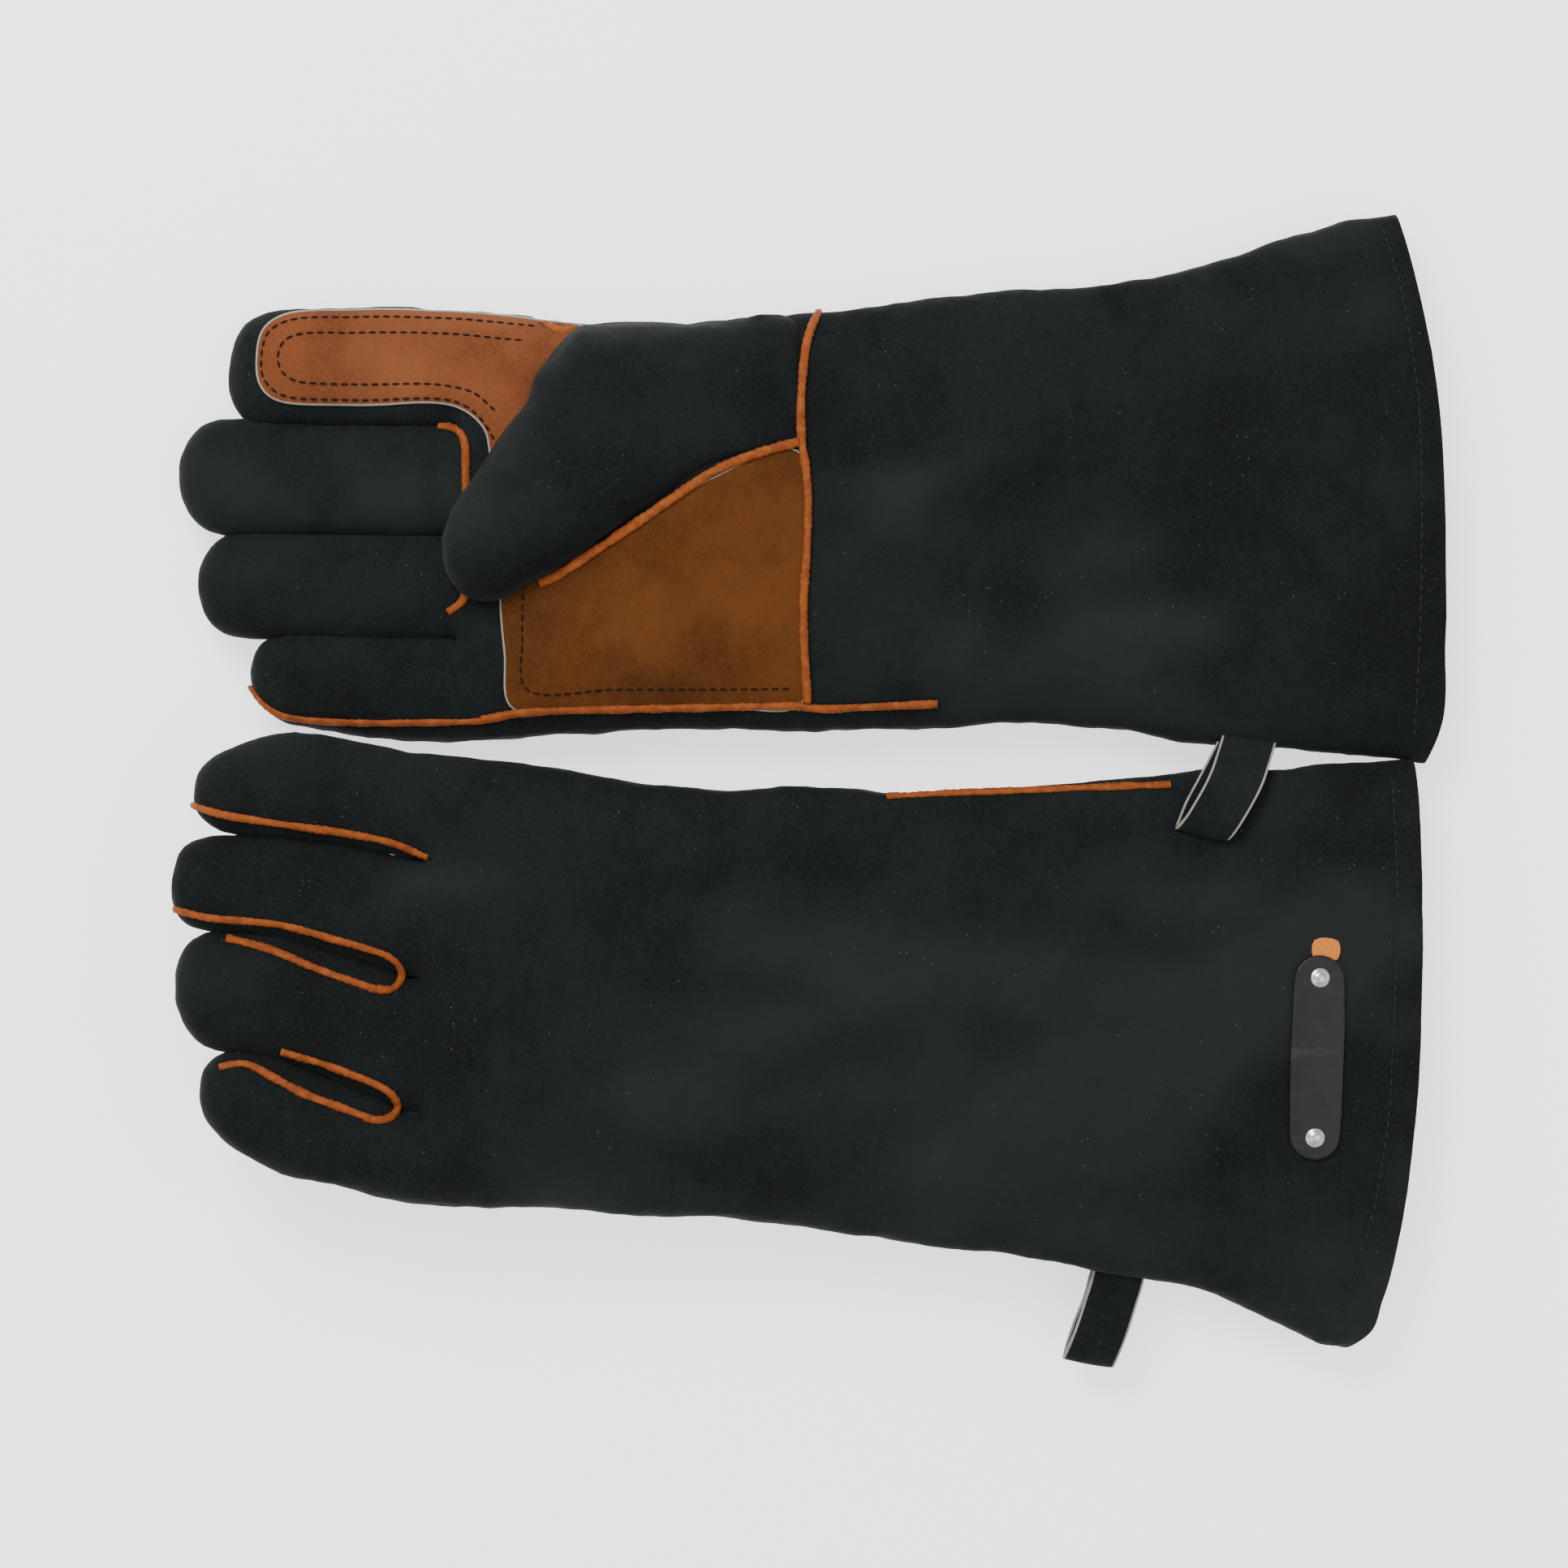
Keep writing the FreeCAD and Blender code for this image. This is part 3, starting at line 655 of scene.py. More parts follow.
def melted(points: Array, faces: list, voxel: float, passes: int) -> tuple[Array, list, Array]:
    """Merge overlapping closed shapes into one skin.

    Args:
        points: Points in millimetres.
        faces: Faces of the closed shapes.
        voxel: Remesh size in millimetres.
        passes: How many times the skin is smoothed.

    Returns:
        Points, faces and normals of the skin.
    """
    piece = draft(points, faces)
    remesh = piece.modifiers.new("Remesh", "REMESH")
    remesh.mode = "VOXEL"
    remesh.voxel_size = voxel * MM
    if passes:
        even = piece.modifiers.new("Smooth", "SMOOTH")
        even.factor = 0.5
        even.iterations = passes
    result = read_mesh(piece)
    drop(piece)
    return result


def puffed(points: Array, faces: list, cap: float) -> tuple[Array, Array]:
    """Blow a closed form up a little as cloth.

    Args:
        points: Points in millimetres.
        faces: Faces.
        cap: The furthest that a point may move.

    Returns:
        The coarse cloth's points before, and how far each moved.
    """
    coarse, quads, _ = melted(points, faces, CLOTH_VOXEL, CLOTH_PASSES)
    piece = draft(coarse, quads)
    cloth = piece.modifiers.new("Cloth", "CLOTH")
    cloth.settings.use_pressure = True
    cloth.settings.uniform_pressure_force = CLOTH_PRESSURE
    cloth.settings.quality = 4
    cloth.settings.effector_weights.gravity = 0.0
    cloth.collision_settings.use_collision = False
    scene = bpy.context.scene
    for number in range(1, CLOTH_FRAMES + 1):
        scene.frame_set(number)
    swollen, _, _ = read_mesh(piece)
    scene.frame_set(1)
    drop(piece)
    moved = swollen - coarse
    far = np.linalg.norm(moved, axis=1, keepdims=True)
    return coarse, moved * np.minimum(1.0, cap / np.maximum(far, 1e-6))


def carried(points: Array, coarse: Array, moved: Array) -> Array:
    """How far a fine skin's points move with the nearest coarse ones.

    Args:
        points: The points, in millimetres.
        coarse: The coarse form's points.
        moved: How far each of those moved.

    Returns:
        How far each fine point moves.
    """
    tree = KDTree(len(coarse))
    for number, place in enumerate(coarse):
        tree.insert(place, number)
    tree.balance()
    result = np.zeros_like(points)
    for number, place in enumerate(points):
        near = tree.find_n(place, 5)
        weights = np.array([1.0 / (gap * gap + 1.0) for _, _, gap in near])
        result[number] = weights @ moved[[index for _, index, _ in near]] / weights.sum()
    return result


@dataclass(frozen=True)
class Fold:
    """A valley (negative) or ridge (positive) along a line on one face of a glove."""

    line: tuple[Point, ...]
    width: float
    depth: float

    def rise(self, points: Array) -> Array:
        """How far the fold lifts each point.

        Args:
            points: The points, in millimetres.

        Returns:
            The lift of each point, in millimetres.
        """
        ends = np.array(self.line, float)
        best = np.full(len(points), 1e9)
        for first, second in zip(ends[:-1], ends[1:]):
            along = second - first
            share = np.clip((points[:, :2] - first) @ along / (along @ along), 0.0, 1.0)
            gap = np.linalg.norm(points[:, :2] - (first + share[:, None] * along), axis=1)
            fade = np.where((share <= 0) | (share >= 1), gap * 1.4, gap)
            best = np.minimum(best, fade)
        return self.depth * np.exp(-(best / self.width) ** 2)


class Skin:
    """A surface that patches, welts and stitches are laid on."""

    def __init__(self, points: Array, faces: list) -> None:
        """Index the surface."""
        self.tree = BVHTree.FromPolygons([tuple(p) for p in points], faces)

    def lay(self, x: float, y: float, up: int) -> tuple[Array, Array]:
        """The first point met at a place from above (up 1) or below (up -1), and its normal.

        Args:
            x: Place along X.
            y: Place along Y.
            up: 1 from above, -1 from below.

        Returns:
            The point and the surface's normal there.
        """
        for reach in (0.0, 0.6, -0.6, 1.5, -1.5, 3.0, -3.0, 5.0, -5.0):
            place, normal, _, _ = self.tree.ray_cast(
                Vector((x, y + reach, 200.0 * up)), Vector((0.0, 0.0, -1.0 * up)))
            if place is not None:
                return np.array((x, y, place.z)), np.array(normal)
        place, normal, _, _ = self.tree.find_nearest(Vector((x, y, 8.0 * up)))
        return np.array(place), np.array(normal)


def flowing(path: Sequence[Point], step: float, closed: bool = False) -> Array:
    """A smooth line through a few points, at even steps.

    Args:
        path: The points to go through.
        step: Distance between the line's points.
        closed: Whether the line closes on itself.

    Returns:
        The line's points.
    """
    points = np.array(path, float)
    if closed:
        points = np.concatenate([points[-2:], points, points[:3]])
    chords = np.linalg.norm(np.diff(points, axis=0), axis=1)
    knots = np.concatenate([[0.0], np.cumsum(np.sqrt(chords + 1e-9))])
    fine = np.linspace(knots[0], knots[-1], 60 * len(points))
    line = np.stack([smooth(knots, points[:, k], fine) for k in range(points.shape[1])], 1)
    if closed:
        keep = (fine >= knots[2]) & (fine < knots[-3])
        line = line[keep]
    run = np.concatenate([[0.0], np.cumsum(np.linalg.norm(np.diff(line, axis=0), axis=1))])
    count = max(2, int(round(run[-1] / step)) + 1)
    even = np.linspace(0.0, run[-1], count)
    return np.stack([np.interp(even, run, line[:, k]) for k in range(points.shape[1])], 1)


def inset_distance(points: Array, outline: Array) -> Array:
    """Each point's distance to a closed outline.

    Args:
        points: Plan points.
        outline: The outline's points.

    Returns:
        The distances.
    """
    best = np.full(len(points), 1e9)
    for first, second in zip(outline, np.roll(outline, -1, axis=0)):
        along = second - first
        share = np.clip((points - first) @ along / max(along @ along, 1e-9), 0.0, 1.0)
        best = np.minimum(best, np.linalg.norm(points - (first + share[:, None] * along), axis=1))
    return best


def set_in(outline: Array, depth: float) -> Array:
    """A closed outline's points moved to its inside.

    Args:
        outline: The outline's points.
        depth: How far they move.

    Returns:
        The moved points.
    """
    along = np.roll(outline, -1, axis=0) - np.roll(outline, 1, axis=0)
    along /= np.linalg.norm(along, axis=1, keepdims=True)
    x, y = outline[:, 0], outline[:, 1]
    area = float(np.sum(x * np.roll(y, -1) - np.roll(x, -1) * y))
    return outline + np.stack([-along[:, 1], along[:, 0]], 1) * depth * (1 if area > 0 else -1)


def plan_mesh(outline: Array, grid: float, band: float = 0.0) -> tuple[Array, list, int]:
    """Fill a closed outline with evenly sized triangles.

    Args:
        outline: The outline's points in order.
        grid: Spacing of the points inside.
        band: Width of a narrow band along the outline, or 0 for none.

    Returns:
        Plan points, of which the outline's come first and the band's next, triangles, and the
        outline's length.
    """
    low, high = outline.min(0), outline.max(0)
    inside = []
    for row, y in enumerate(np.arange(low[1], high[1], grid * 0.866)):
        for x in np.arange(low[0] + (row % 2) * grid / 2, high[0], grid):
            inside.append((x, y))
    spots = np.array(inside)
    crossings = np.zeros(len(spots), int)
    for first, second in zip(outline, np.roll(outline, -1, axis=0)):
        spans = (first[1] > spots[:, 1]) != (second[1] > spots[:, 1])
        slope = (second[0] - first[0]) / (second[1] - first[1] + 1e-12)
        crossings += spans & (spots[:, 0] < first[0] + (spots[:, 1] - first[1]) * slope)
    spots = spots[(crossings % 2 == 1) & (inset_distance(spots, outline) > band + grid * 0.6)]
    rings = [outline, set_in(outline, band)] if band else [outline]
    every = np.concatenate(rings + [spots])
    count = len(outline)
    edges = [(i, (i + 1) % count) for i in range(count)]
    plan, _, triangles, _, _, _ = delaunay_2d_cdt(
        [Vector(p) for p in every], edges, [tuple(range(count))], 1, 1e-6)
    plan_points = np.array([tuple(p) for p in plan])
    turned = []
    for a, b, c in triangles:
        one, two = plan_points[b] - plan_points[a], plan_points[c] - plan_points[a]
        turned.append((a, b, c) if one[0] * two[1] - one[1] * two[0] > 0 else (a, c, b))
    return plan_points, turned, count


def boundary(faces: list) -> list[tuple[int, int]]:
    """Edges that only one face uses, in that face's direction.

    Args:
        faces: The faces.

    Returns:
        The open edges.
    """
    seen: dict[tuple[int, int], int] = {}
    for face in faces:
        for a, b in zip(face, face[1:] + face[:1]):
            seen[(a, b)] = seen.get((a, b), 0) + 1
    return [(a, b) for (a, b) in seen if (b, a) not in seen]


def walled(points: Array, faces: list, under: Array) -> tuple[Array, list, list[int]]:
    """Give an open skin a wall.

    Args:
        points: The skin's points.
        faces: Its faces, which point outwards.
        under: The wall's other face, point for point.

    Returns:
        Points, faces and slots: 0 for the skin, 1 for its inside, 2 for the rim.
    """
    count = len(points)
    inner = [tuple(i + count for i in face[::-1]) for face in faces]
    rim = [(b, a, a + count, b + count) for a, b in boundary(faces)]
    slots = [0] * len(faces) + [1] * len(inner) + [2] * len(rim)
    return np.concatenate([points, under]), faces + inner + rim, slots


# ------------------------------------------------------------------ stitches
class StitchTree:
    """Geometry nodes that lay a stitch at every step of a line, and end as one mesh."""

    def __init__(self, finish: Finish) -> None:
        """Build the tree for one thread.

        Args:
            finish: The thread's finish.
        """
        tree = bpy.data.node_groups.new(f"stitches_{finish.value.name}", "GeometryNodeTree")
        shape = tree.interface
        shape.new_socket("Geometry", in_out="INPUT", socket_type="NodeSocketGeometry")
        shape.new_socket("Geometry", in_out="OUTPUT", socket_type="NodeSocketGeometry")
        self.sockets = {
            name: shape.new_socket(name, in_out="INPUT", socket_type="NodeSocketFloat").identifier
            for name in ("Pitch", "Length", "Thread")}
        self.tree = tree
        given = tree.nodes.new("NodeGroupInput")
        line = self._node("GeometryNodeMeshToCurve", {"Mesh": given.outputs["Geometry"]})
        spots = self._node("GeometryNodeCurveToPoints", {
            "Curve": line.outputs[0], "Length": given.outputs["Pitch"]}, {"mode": "LENGTH"})
        bar = self._node("GeometryNodeMeshUVSphere", {"Segments": 6, "Rings": 4, "Radius": 0.5})
        size = self._node("ShaderNodeCombineXYZ", {
            "X": given.outputs["Thread"], "Y": given.outputs["Thread"],
            "Z": given.outputs["Length"]})
        laid = self._node("GeometryNodeInstanceOnPoints", {
            "Points": spots.outputs["Points"], "Instance": bar.outputs["Mesh"],
            "Rotation": spots.outputs["Rotation"], "Scale": size.outputs[0]})
        real = self._node("GeometryNodeRealizeInstances", {"Geometry": laid.outputs[0]})
        dressed = self._node("GeometryNodeSetMaterial", {
            "Geometry": real.outputs[0], "Material": finish.material()})
        end = tree.nodes.new("NodeGroupOutput")
        tree.links.new(dressed.outputs[0], end.inputs[0])

    def _node(self, kind: str, values: dict, settings: dict | None = None) -> bpy.types.Node:
        """Add a node, set it, and fill its sockets with values or links.

        Args:
            kind: The node's type.
            values: Input name to a value or an output socket.
            settings: Attributes of the node, set first.

        Returns:
            The node.
        """
        made = self.tree.nodes.new(kind)
        for key, value in (settings or {}).items():
            setattr(made, key, value)
        for key, value in values.items():
            if isinstance(value, bpy.types.NodeSocket):
                self.tree.links.new(value, made.inputs[key])
            else:
                made.inputs[key].default_value = value
        return made

    def sew(self, name: str, lines: Sequence[Array], pitch: float, length: float,
            thread: float) -> bpy.types.Object:
        """Lay stitches along some lines.

        Args:
            name: The piece's name.
            lines: Lines of points in metres.
            pitch: From one stitch to the next, in millimetres.
            length: A stitch's length.
            thread: The thread's thickness.

        Returns:
            The stitches as one plain mesh object.
        """
        points = np.concatenate(lines)
        edges, start = [], 0
        for line in lines:
            edges += [(start + i, start + i + 1) for i in range(len(line) - 1)]
            start += len(line)
        mesh = bpy.data.meshes.new(name + "_lines")
        mesh.from_pydata([tuple(p) for p in points], edges, [])
        guide = bpy.data.objects.new(name + "_lines", mesh)
        bpy.context.scene.collection.objects.link(guide)
        nodes = guide.modifiers.new("Stitches", "NODES")
        nodes.node_group = self.tree
        for key, value in (("Pitch", pitch), ("Length", length), ("Thread", thread)):
            nodes[self.sockets[key]] = value * MM
        graph = bpy.context.evaluated_depsgraph_get()
        sewn = bpy.data.meshes.new_from_object(guide.evaluated_get(graph))
        drop(guide)
        sewn.name = name
        sewn.polygons.foreach_set("use_smooth", [True] * len(sewn.polygons))
        piece = bpy.data.objects.new(name, sewn)
        bpy.context.scene.collection.objects.link(piece)
        return piece


# ------------------------------------------------------------------ the gloves
@dataclass(frozen=True)
class Patch:
    """A flat piece sewn on: its outline, its face (1 upper, -1 under) and its sizes."""

    name: str
    outline: tuple[Point, ...]
    face: int
    finish: Finish
    slot: str
    nodes: tuple[str, ...] = ()
    thickness: float = 1.3
    finger: str = ""
    rim: Finish = Finish.RAW
    step: float = 2.0
    grid: float = 2.2
    edge_share: float = 0.75
    edge_width: float = 2.5
    wave: float = 0.22
    wave_size: float = 9.0
    wave_width: float = 4.0
    sunk: float = 0.9


@dataclass(frozen=True)
class Welt:
    """A narrow strip of leather sewn into a seam."""

    name: str
    path: tuple[Point, ...]
    face: int
    width: float = 2.8
    nodes: tuple[str, ...] = ()
    finger: str = ""
    lift: float = 0.0
    step: float = 1.2
    passes: int = 4
    sides: int = 8
    height: float = 0.95
    seat: float = 0.35
    pinch: float = 0.10
    pinch_pitch: float = 2.6
    wave: float = 0.25
    wave_size: float = 5.0


@dataclass(frozen=True)
class Seam:
    """A row of visible stitches."""

    name: str
    path: tuple[Point, ...]
    face: int
    finish: Finish = Finish.DARK_THREAD
    closed: bool = False
    finger: str = ""


@dataclass(frozen=True)
class ThumbSizes:
    """The soft thumb's sizes: heights over the palm, and the rounding of its sides."""

    step: float = 2.4
    grid: float = 2.6
    height: float = 16.5
    fall: float = 15.5
    fall_length: float = 88.0
    side_most: float = 13.0
    side_least: float = 6.0
    side_share: float = 0.55
    open_from: float = -12.0
    open_by: float = 30.0
    seat_least: float = 10.8
    seat_most: float = 14.0
    seat_from: float = -60.0
    seat_length: float = 15.0
    above: float = 0.4
    below: float = 3.5
    wave: float = 1.0
    wave_size: float = 24.0
    ripple: float = 0.35
    ripple_size: float = 8.0
    fold_share: float = 0.6


@dataclass
class Glove:
    """One gauntlet glove, built flat about its middle plane and then set down.

    Plan sizes are millimetres in the pair's own frame, heights are from the middle plane.
    """

    side: str
    palm: int
    hand: Run
    fingers: tuple[Finger, ...]
    thumb: tuple[Point, ...]
    mouth: tuple[Point, ...]
    folds: tuple[Fold, ...]
    patches: tuple[Patch, ...]
    welts: tuple[Welt, ...]
    seams: tuple[Seam, ...]
    crotch: float
    cuff_start: float
    tilt: float = 0.0
    level: float = 12.0
    wrist: float = -1.24
    wall: float = 1.7
    bend_reach: float = 20.0
    give: float = 2.9
    raw_band: float = 0.6
    lined_from: float = -60.0
    thumb_base: Point = (-64.7, 118.6)
    thumb_turn: float = math.radians(44.0)
    gap: float = 1.6
    overlap: float = 1.1
    root: float = 6.0
    root_fade: float = 10.0
    finger_depth: float = 24.0
    puff_fade: float = 25.0
    overrun: float = 8.0
    thumb_before: float = 14.0
    thumb_after: float = 16.0
    thumb_sizes: ThumbSizes = ThumbSizes()

    def build(self) -> None:
        """Make every piece of the glove."""
        points, faces, normals = self.skin()
        thumb_points, thumb_faces, thumb_normals = self.thumb_form(Skin(points, faces))
        self.bare = Skin(points, faces)
        self.hand_and_fingers(points, faces, normals)
        self.thumb_piece(thumb_points, thumb_faces, thumb_normals)
        for patch in self.patches:
            self.sew_patch(patch)
        for welt in self.welts:
            self.sew_welt(welt)
        self.sew_seams()

    # -------------------------------------------------------------- placing
    def set_down(self, points: Array) -> Array:
        """Tilt and lift points from the glove's flat frame to the pair's, in metres.

        Args:
            points: The points, in millimetres.

        Returns:
            The points in the pair's frame, in metres.
        """
        turn = math.radians(self.tilt)
        x = points[:, 0] - self.wrist
        z = points[:, 2]
        height = self.level - x * math.sin(turn) + z * math.cos(turn)
        below = np.minimum(height - FLOOR_GAP - self.give, 0.0)
        pressed = FLOOR_GAP + self.give * np.exp(below / self.give)
        height = np.where(height < FLOOR_GAP + self.give, pressed, height)
        return np.stack([self.wrist + x * math.cos(turn) + z * math.sin(turn),
                         points[:, 1], height], 1) * MM

    def spot(self, x: float, y: float, z: float = 0.0) -> tuple[float, float, float]:
        """One point set down."""
        return tuple(self.set_down(np.array([[x, y, z]]))[0])

    # -------------------------------------------------------------- forms
    def skin(self) -> tuple[Array, list, Array]:
        """The hand, cuff and fingers as one soft skin, open at the mouth.

        Returns:
            Points, faces and normals.
        """
        xs = [station[0] for station in self.hand.stations]
        x = np.arange(self.crotch, xs[-1] + self.overrun, STATION_STEP)
        low, high, half = self.hand.at(np.minimum(x, xs[-1]))
        palm = tube(x, (low + high) / 2, (high - low) / 2, half, HAND_STEPS, HAND_POWER)
        shapes = [palm] + [finger.loft(self.crotch + self.finger_depth, self.spare(number))
                           for number, finger in enumerate(self.fingers)]
        points, faces = joined(shapes)
        fine, quads, normals = melted(points, faces, SKIN_VOXEL, SKIN_PASSES)
        fine = self.closed_up(fine)
        coarse, moved = puffed(*palm, PUFF_CAP)
        moved[:, :2] *= PUFF_ASIDE
        share = step01((fine[:, 0] - self.crotch) / self.puff_fade)[:, None]
        fine = fine + carried(fine, coarse, moved) * share
        fine = self.creased(fine, normals)
        end = xs[-1]
        kept = [quad for quad in quads if max(fine[list(quad), 0]) < end]
        used = sorted({i for quad in kept for i in quad})
        renumber = {old: new for new, old in enumerate(used)}
        fine, normals = fine[used], normals[used]
        quads = [tuple(renumber[i] for i in quad) for quad in kept]
        edge = sorted({i for pair in boundary(quads) for i in pair})
        fine[edge, 0] = end
        fine = self.to_mouth(fine)
        return fine, quads, self.fresh_normals(fine, quads)

    def spare(self, number: int) -> Point:
        """How much narrower a finger starts, on its low side and its high side."""
        last = len(self.fingers) - 1
        return (0.0 if number == last else self.gap, 0.0 if number == 0 else self.gap)

    def closed_up(self, points: Array) -> Array:
        """Widen the fingers again, so that neighbours nearly touch.

        Args:
            points: The points, in millimetres.

        Returns:
            The points, with the fingers widened.
        """
        result = points.copy()
        x, y = points[:, 0], points[:, 1]
        share = step01((self.crotch + self.root - x) / self.root_fade)
        for number, finger in enumerate(self.fingers):
            top = np.inf if number == 0 else self.between(number - 1, x)
            bottom = -np.inf if number == len(self.fingers) - 1 else self.between(number, x)
            mine = (y < top) & (y >= bottom) & (share > 0)
            low, high, _ = finger.run.at(x)
            less_low, less_high = self.spare(number)
            start, span = low + less_low, high - low - less_low - less_high
            low = low if less_low == 0 else bottom - self.overlap
            high = high if less_high == 0 else top + self.overlap
            wanted = np.minimum(high, np.maximum(low, low + (y - start) * (high - low) / span))
            result[mine, 1] += (share * (wanted - y))[mine]
        return result

    @staticmethod
    def fresh_normals(points: Array, faces: list) -> Array:
        """Vertex normals worked out from the faces.

        Args:
            points: The points, in millimetres.
            faces: The faces.

        Returns:
            The normals.
        """
        corners = np.array([face if len(face) == 4 else face + (face[0],) for face in faces])
        across = points[corners[:, 2]] - points[corners[:, 0]]
        along = points[corners[:, 3]] - points[corners[:, 1]]
        flat = np.cross(across, along)
        sums = np.zeros_like(points)
        for column in range(4):
            np.add.at(sums, corners[:, column], flat)
        return sums / np.maximum(np.linalg.norm(sums, axis=1, keepdims=True), 1e-9)

    def creased(self, points: Array, normals: Array) -> Array:
        """Add the folds and the leather's own unevenness.

        Args:
            points: The points, in millimetres.
            normals: The points' normals.

        Returns:
            The moved points.
        """
        lift = np.zeros(len(points))
        for fold in self.folds:
            lift += fold.rise(points) * np.clip(np.abs(normals[:, 2]) * 1.5, 0.0, 1.0)
        seed = 40.0 if self.side == "left" else 0.0
        for number, (x, y, z) in enumerate(points):
            for rise, size, along, aside, shift in UNEVENNESS:
                lift[number] += rise * fractal(x * along, y * aside, z + seed + shift, size)
        return points + normals * lift[:, None]

    def to_mouth(self, points: Array) -> Array:
        """Stretch the cuff's end along X so that it meets the mouth's line.

        Args:
            points: The points, in millimetres.

        Returns:
            The moved points.
        """
        ys, xs = zip(*self.mouth)
        end = self.hand.stations[-1][0]
        wanted = smooth(ys, xs, np.clip(points[:, 1], ys[0], ys[-1]))
        share = np.clip((points[:, 0] - self.cuff_start) / (end - self.cuff_start), 0.0, 1.0)
        result = points.copy()
        result[:, 0] += share ** MOUTH_POWER * (wanted - end)
        return result

    def thumb_form(self, palm: Skin) -> tuple[Array, list, Array]:
        """The thumb and its wing, a soft form lying on the palm.

        Args:
            palm: The glove's skin, which the thumb lies on.

        Returns:
            Points, faces and normals.
        """
        size = self.thumb_sizes
        outline = flowing(self.thumb, size.step, closed=True)
        plan, triangles, _ = plan_mesh(outline, size.grid)
        beyond = outline + np.where(outline[:, :1] > size.open_from, (size.open_by, 0.0),
                                    (0.0, 0.0))
        gap = inset_distance(plan, beyond)
        rise = size.height - size.fall * step01(
            (plan[:, 0] + size.fall_length) / size.fall_length)
        reach = np.minimum(size.side_most, size.side_least + rise * size.side_share)
        crown = np.sqrt(np.clip(1 - (1 - np.minimum(gap / reach, 1.0)) ** 2, 0.0, 1.0))
        base = np.array([abs(palm.lay(x, y, self.palm)[0][2]) for x, y in plan])
        least = size.seat_least * step01((size.seat_from - plan[:, 0]) / size.seat_length)
        base = np.clip(base, least, size.seat_most)
        upper = np.column_stack([plan, (base + size.above + rise * crown) * self.palm])
        lower = np.column_stack([plan, (base - size.below) * self.palm])
        faces = triangles if self.palm > 0 else [face[::-1] for face in triangles]
        points, solid, _ = walled(upper, faces, lower)
        fine, quads, normals = melted(points, solid, THUMB_VOXEL, THUMB_PASSES)
        lift = np.array([size.wave * fractal(x, y, z + 130, size.wave_size)
                         + size.ripple * fractal(x, y, z, size.ripple_size)
                         for x, y, z in fine])
        for fold in self.folds:
            lift += size.fold_share * fold.rise(fine)
        fine = fine + normals * lift[:, None]
        return fine, quads, self.fresh_normals(fine, quads)

    # -------------------------------------------------------------- pieces
    def hand_and_fingers(self, points: Array, faces: list, normals: Array) -> None:
        """Split the skin at the fingers' bases and give each piece its wall.

        Args:
            points: The points, in millimetres.
            faces: The faces.
            normals: The points' normals.
        """
        middles = np.array([points[list(face)].mean(0) for face in faces])
        owner = np.full(len(faces), -1)
        x = middles[:, 0]
        ahead = x < self.crotch + self.root
        last = len(self.fingers) - 1
        for number in range(len(self.fingers)):
            upper = math.inf if number == 0 else self.between(number - 1, x)
            lower = -math.inf if number == last else self.between(number, x)
            owner[ahead & (middles[:, 1] < upper) & (middles[:, 1] >= lower)] = number
        for number, name in ((-1, ""), *enumerate(finger.name for finger in self.fingers)):
            chosen = [face for face, mine in zip(faces, owner) if mine == number]
            self.shell_piece(points, normals, chosen, name)

    def between(self, number: int, x: Array) -> Array:
        """The line between a finger and the next one.

        Args:
            number: The finger's place from the index finger, which is 0.
            x: Places along X.

        Returns:
            The line's places across.
        """
        low, _, _ = self.fingers[number].run.at(x)
        _, high, _ = self.fingers[number + 1].run.at(x)
        return (low + high) / 2

    def shell_piece(self, points: Array, normals: Array, faces: list, finger: str) -> None:
        """One part of the skin as a walled piece.

        Args:
            points: The points, in millimetres.
            normals: The points' normals.
            faces: The faces of this part.
            finger: The finger's name, or nothing for the hand.
        """
        used = np.unique([i for face in faces for i in face])
        renumber = np.zeros(len(points), int)
        renumber[used] = np.arange(len(used))
        local = [tuple(int(renumber[i]) for i in face) for face in faces]
        outer, facing = points[used], normals[used]
        inner = outer - facing * self.wall
        every, solid, slots = walled(outer, local, inner)
        for number, face in enumerate(local):
            if finger or outer[face[0], 0] < self.lined_from:
                slots[number + len(local)] = 0
        label = f"{self.side}_{finger}_leather" if finger else f"{self.side}_hand_and_cuff"
        piece = new_piece(label, self.set_down(every), solid,
                          (Finish.BLACK, Finish.FLEECE, Finish.BLACK), slots)
        whole = np.concatenate([facing, -facing])
        turn = math.radians(self.tilt)
        turned = np.stack([
            whole[:, 0] * math.cos(turn) + whole[:, 2] * math.sin(turn), whole[:, 1],
            -whole[:, 0] * math.sin(turn) + whole[:, 2] * math.cos(turn)], 1)
        piece.data.normals_split_custom_set_from_vertices([tuple(n) for n in turned])
        nodes = ([f"{finger}_{part}" for part in ("front", "back", "lining")] if finger else
                 ("back", "palm", "cuff_front", "hand_lining", "cuff_lining"))
        self.fasten(piece, finger, nodes)
        LOG.info("%s: %d faces", label, len(solid))

    def fasten(self, piece: bpy.types.Object, finger: str, nodes: Iterable[str]) -> None:
        """Make a piece move with the hand, or fix a finger's piece where it lies, and hide the CAD
        nodes that it stands for.

        Args:
            piece: The piece.
            finger: The finger whose piece it is, or nothing for the hand.
            nodes: CAD nodes that it stands for, without the glove's side.
        """
        if finger:
            self.follow_finger(piece, finger)
        else:
            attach(piece, f"{self.side}_hand")
        if nodes:
            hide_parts(*[f"{self.side}_{node}" for node in nodes])

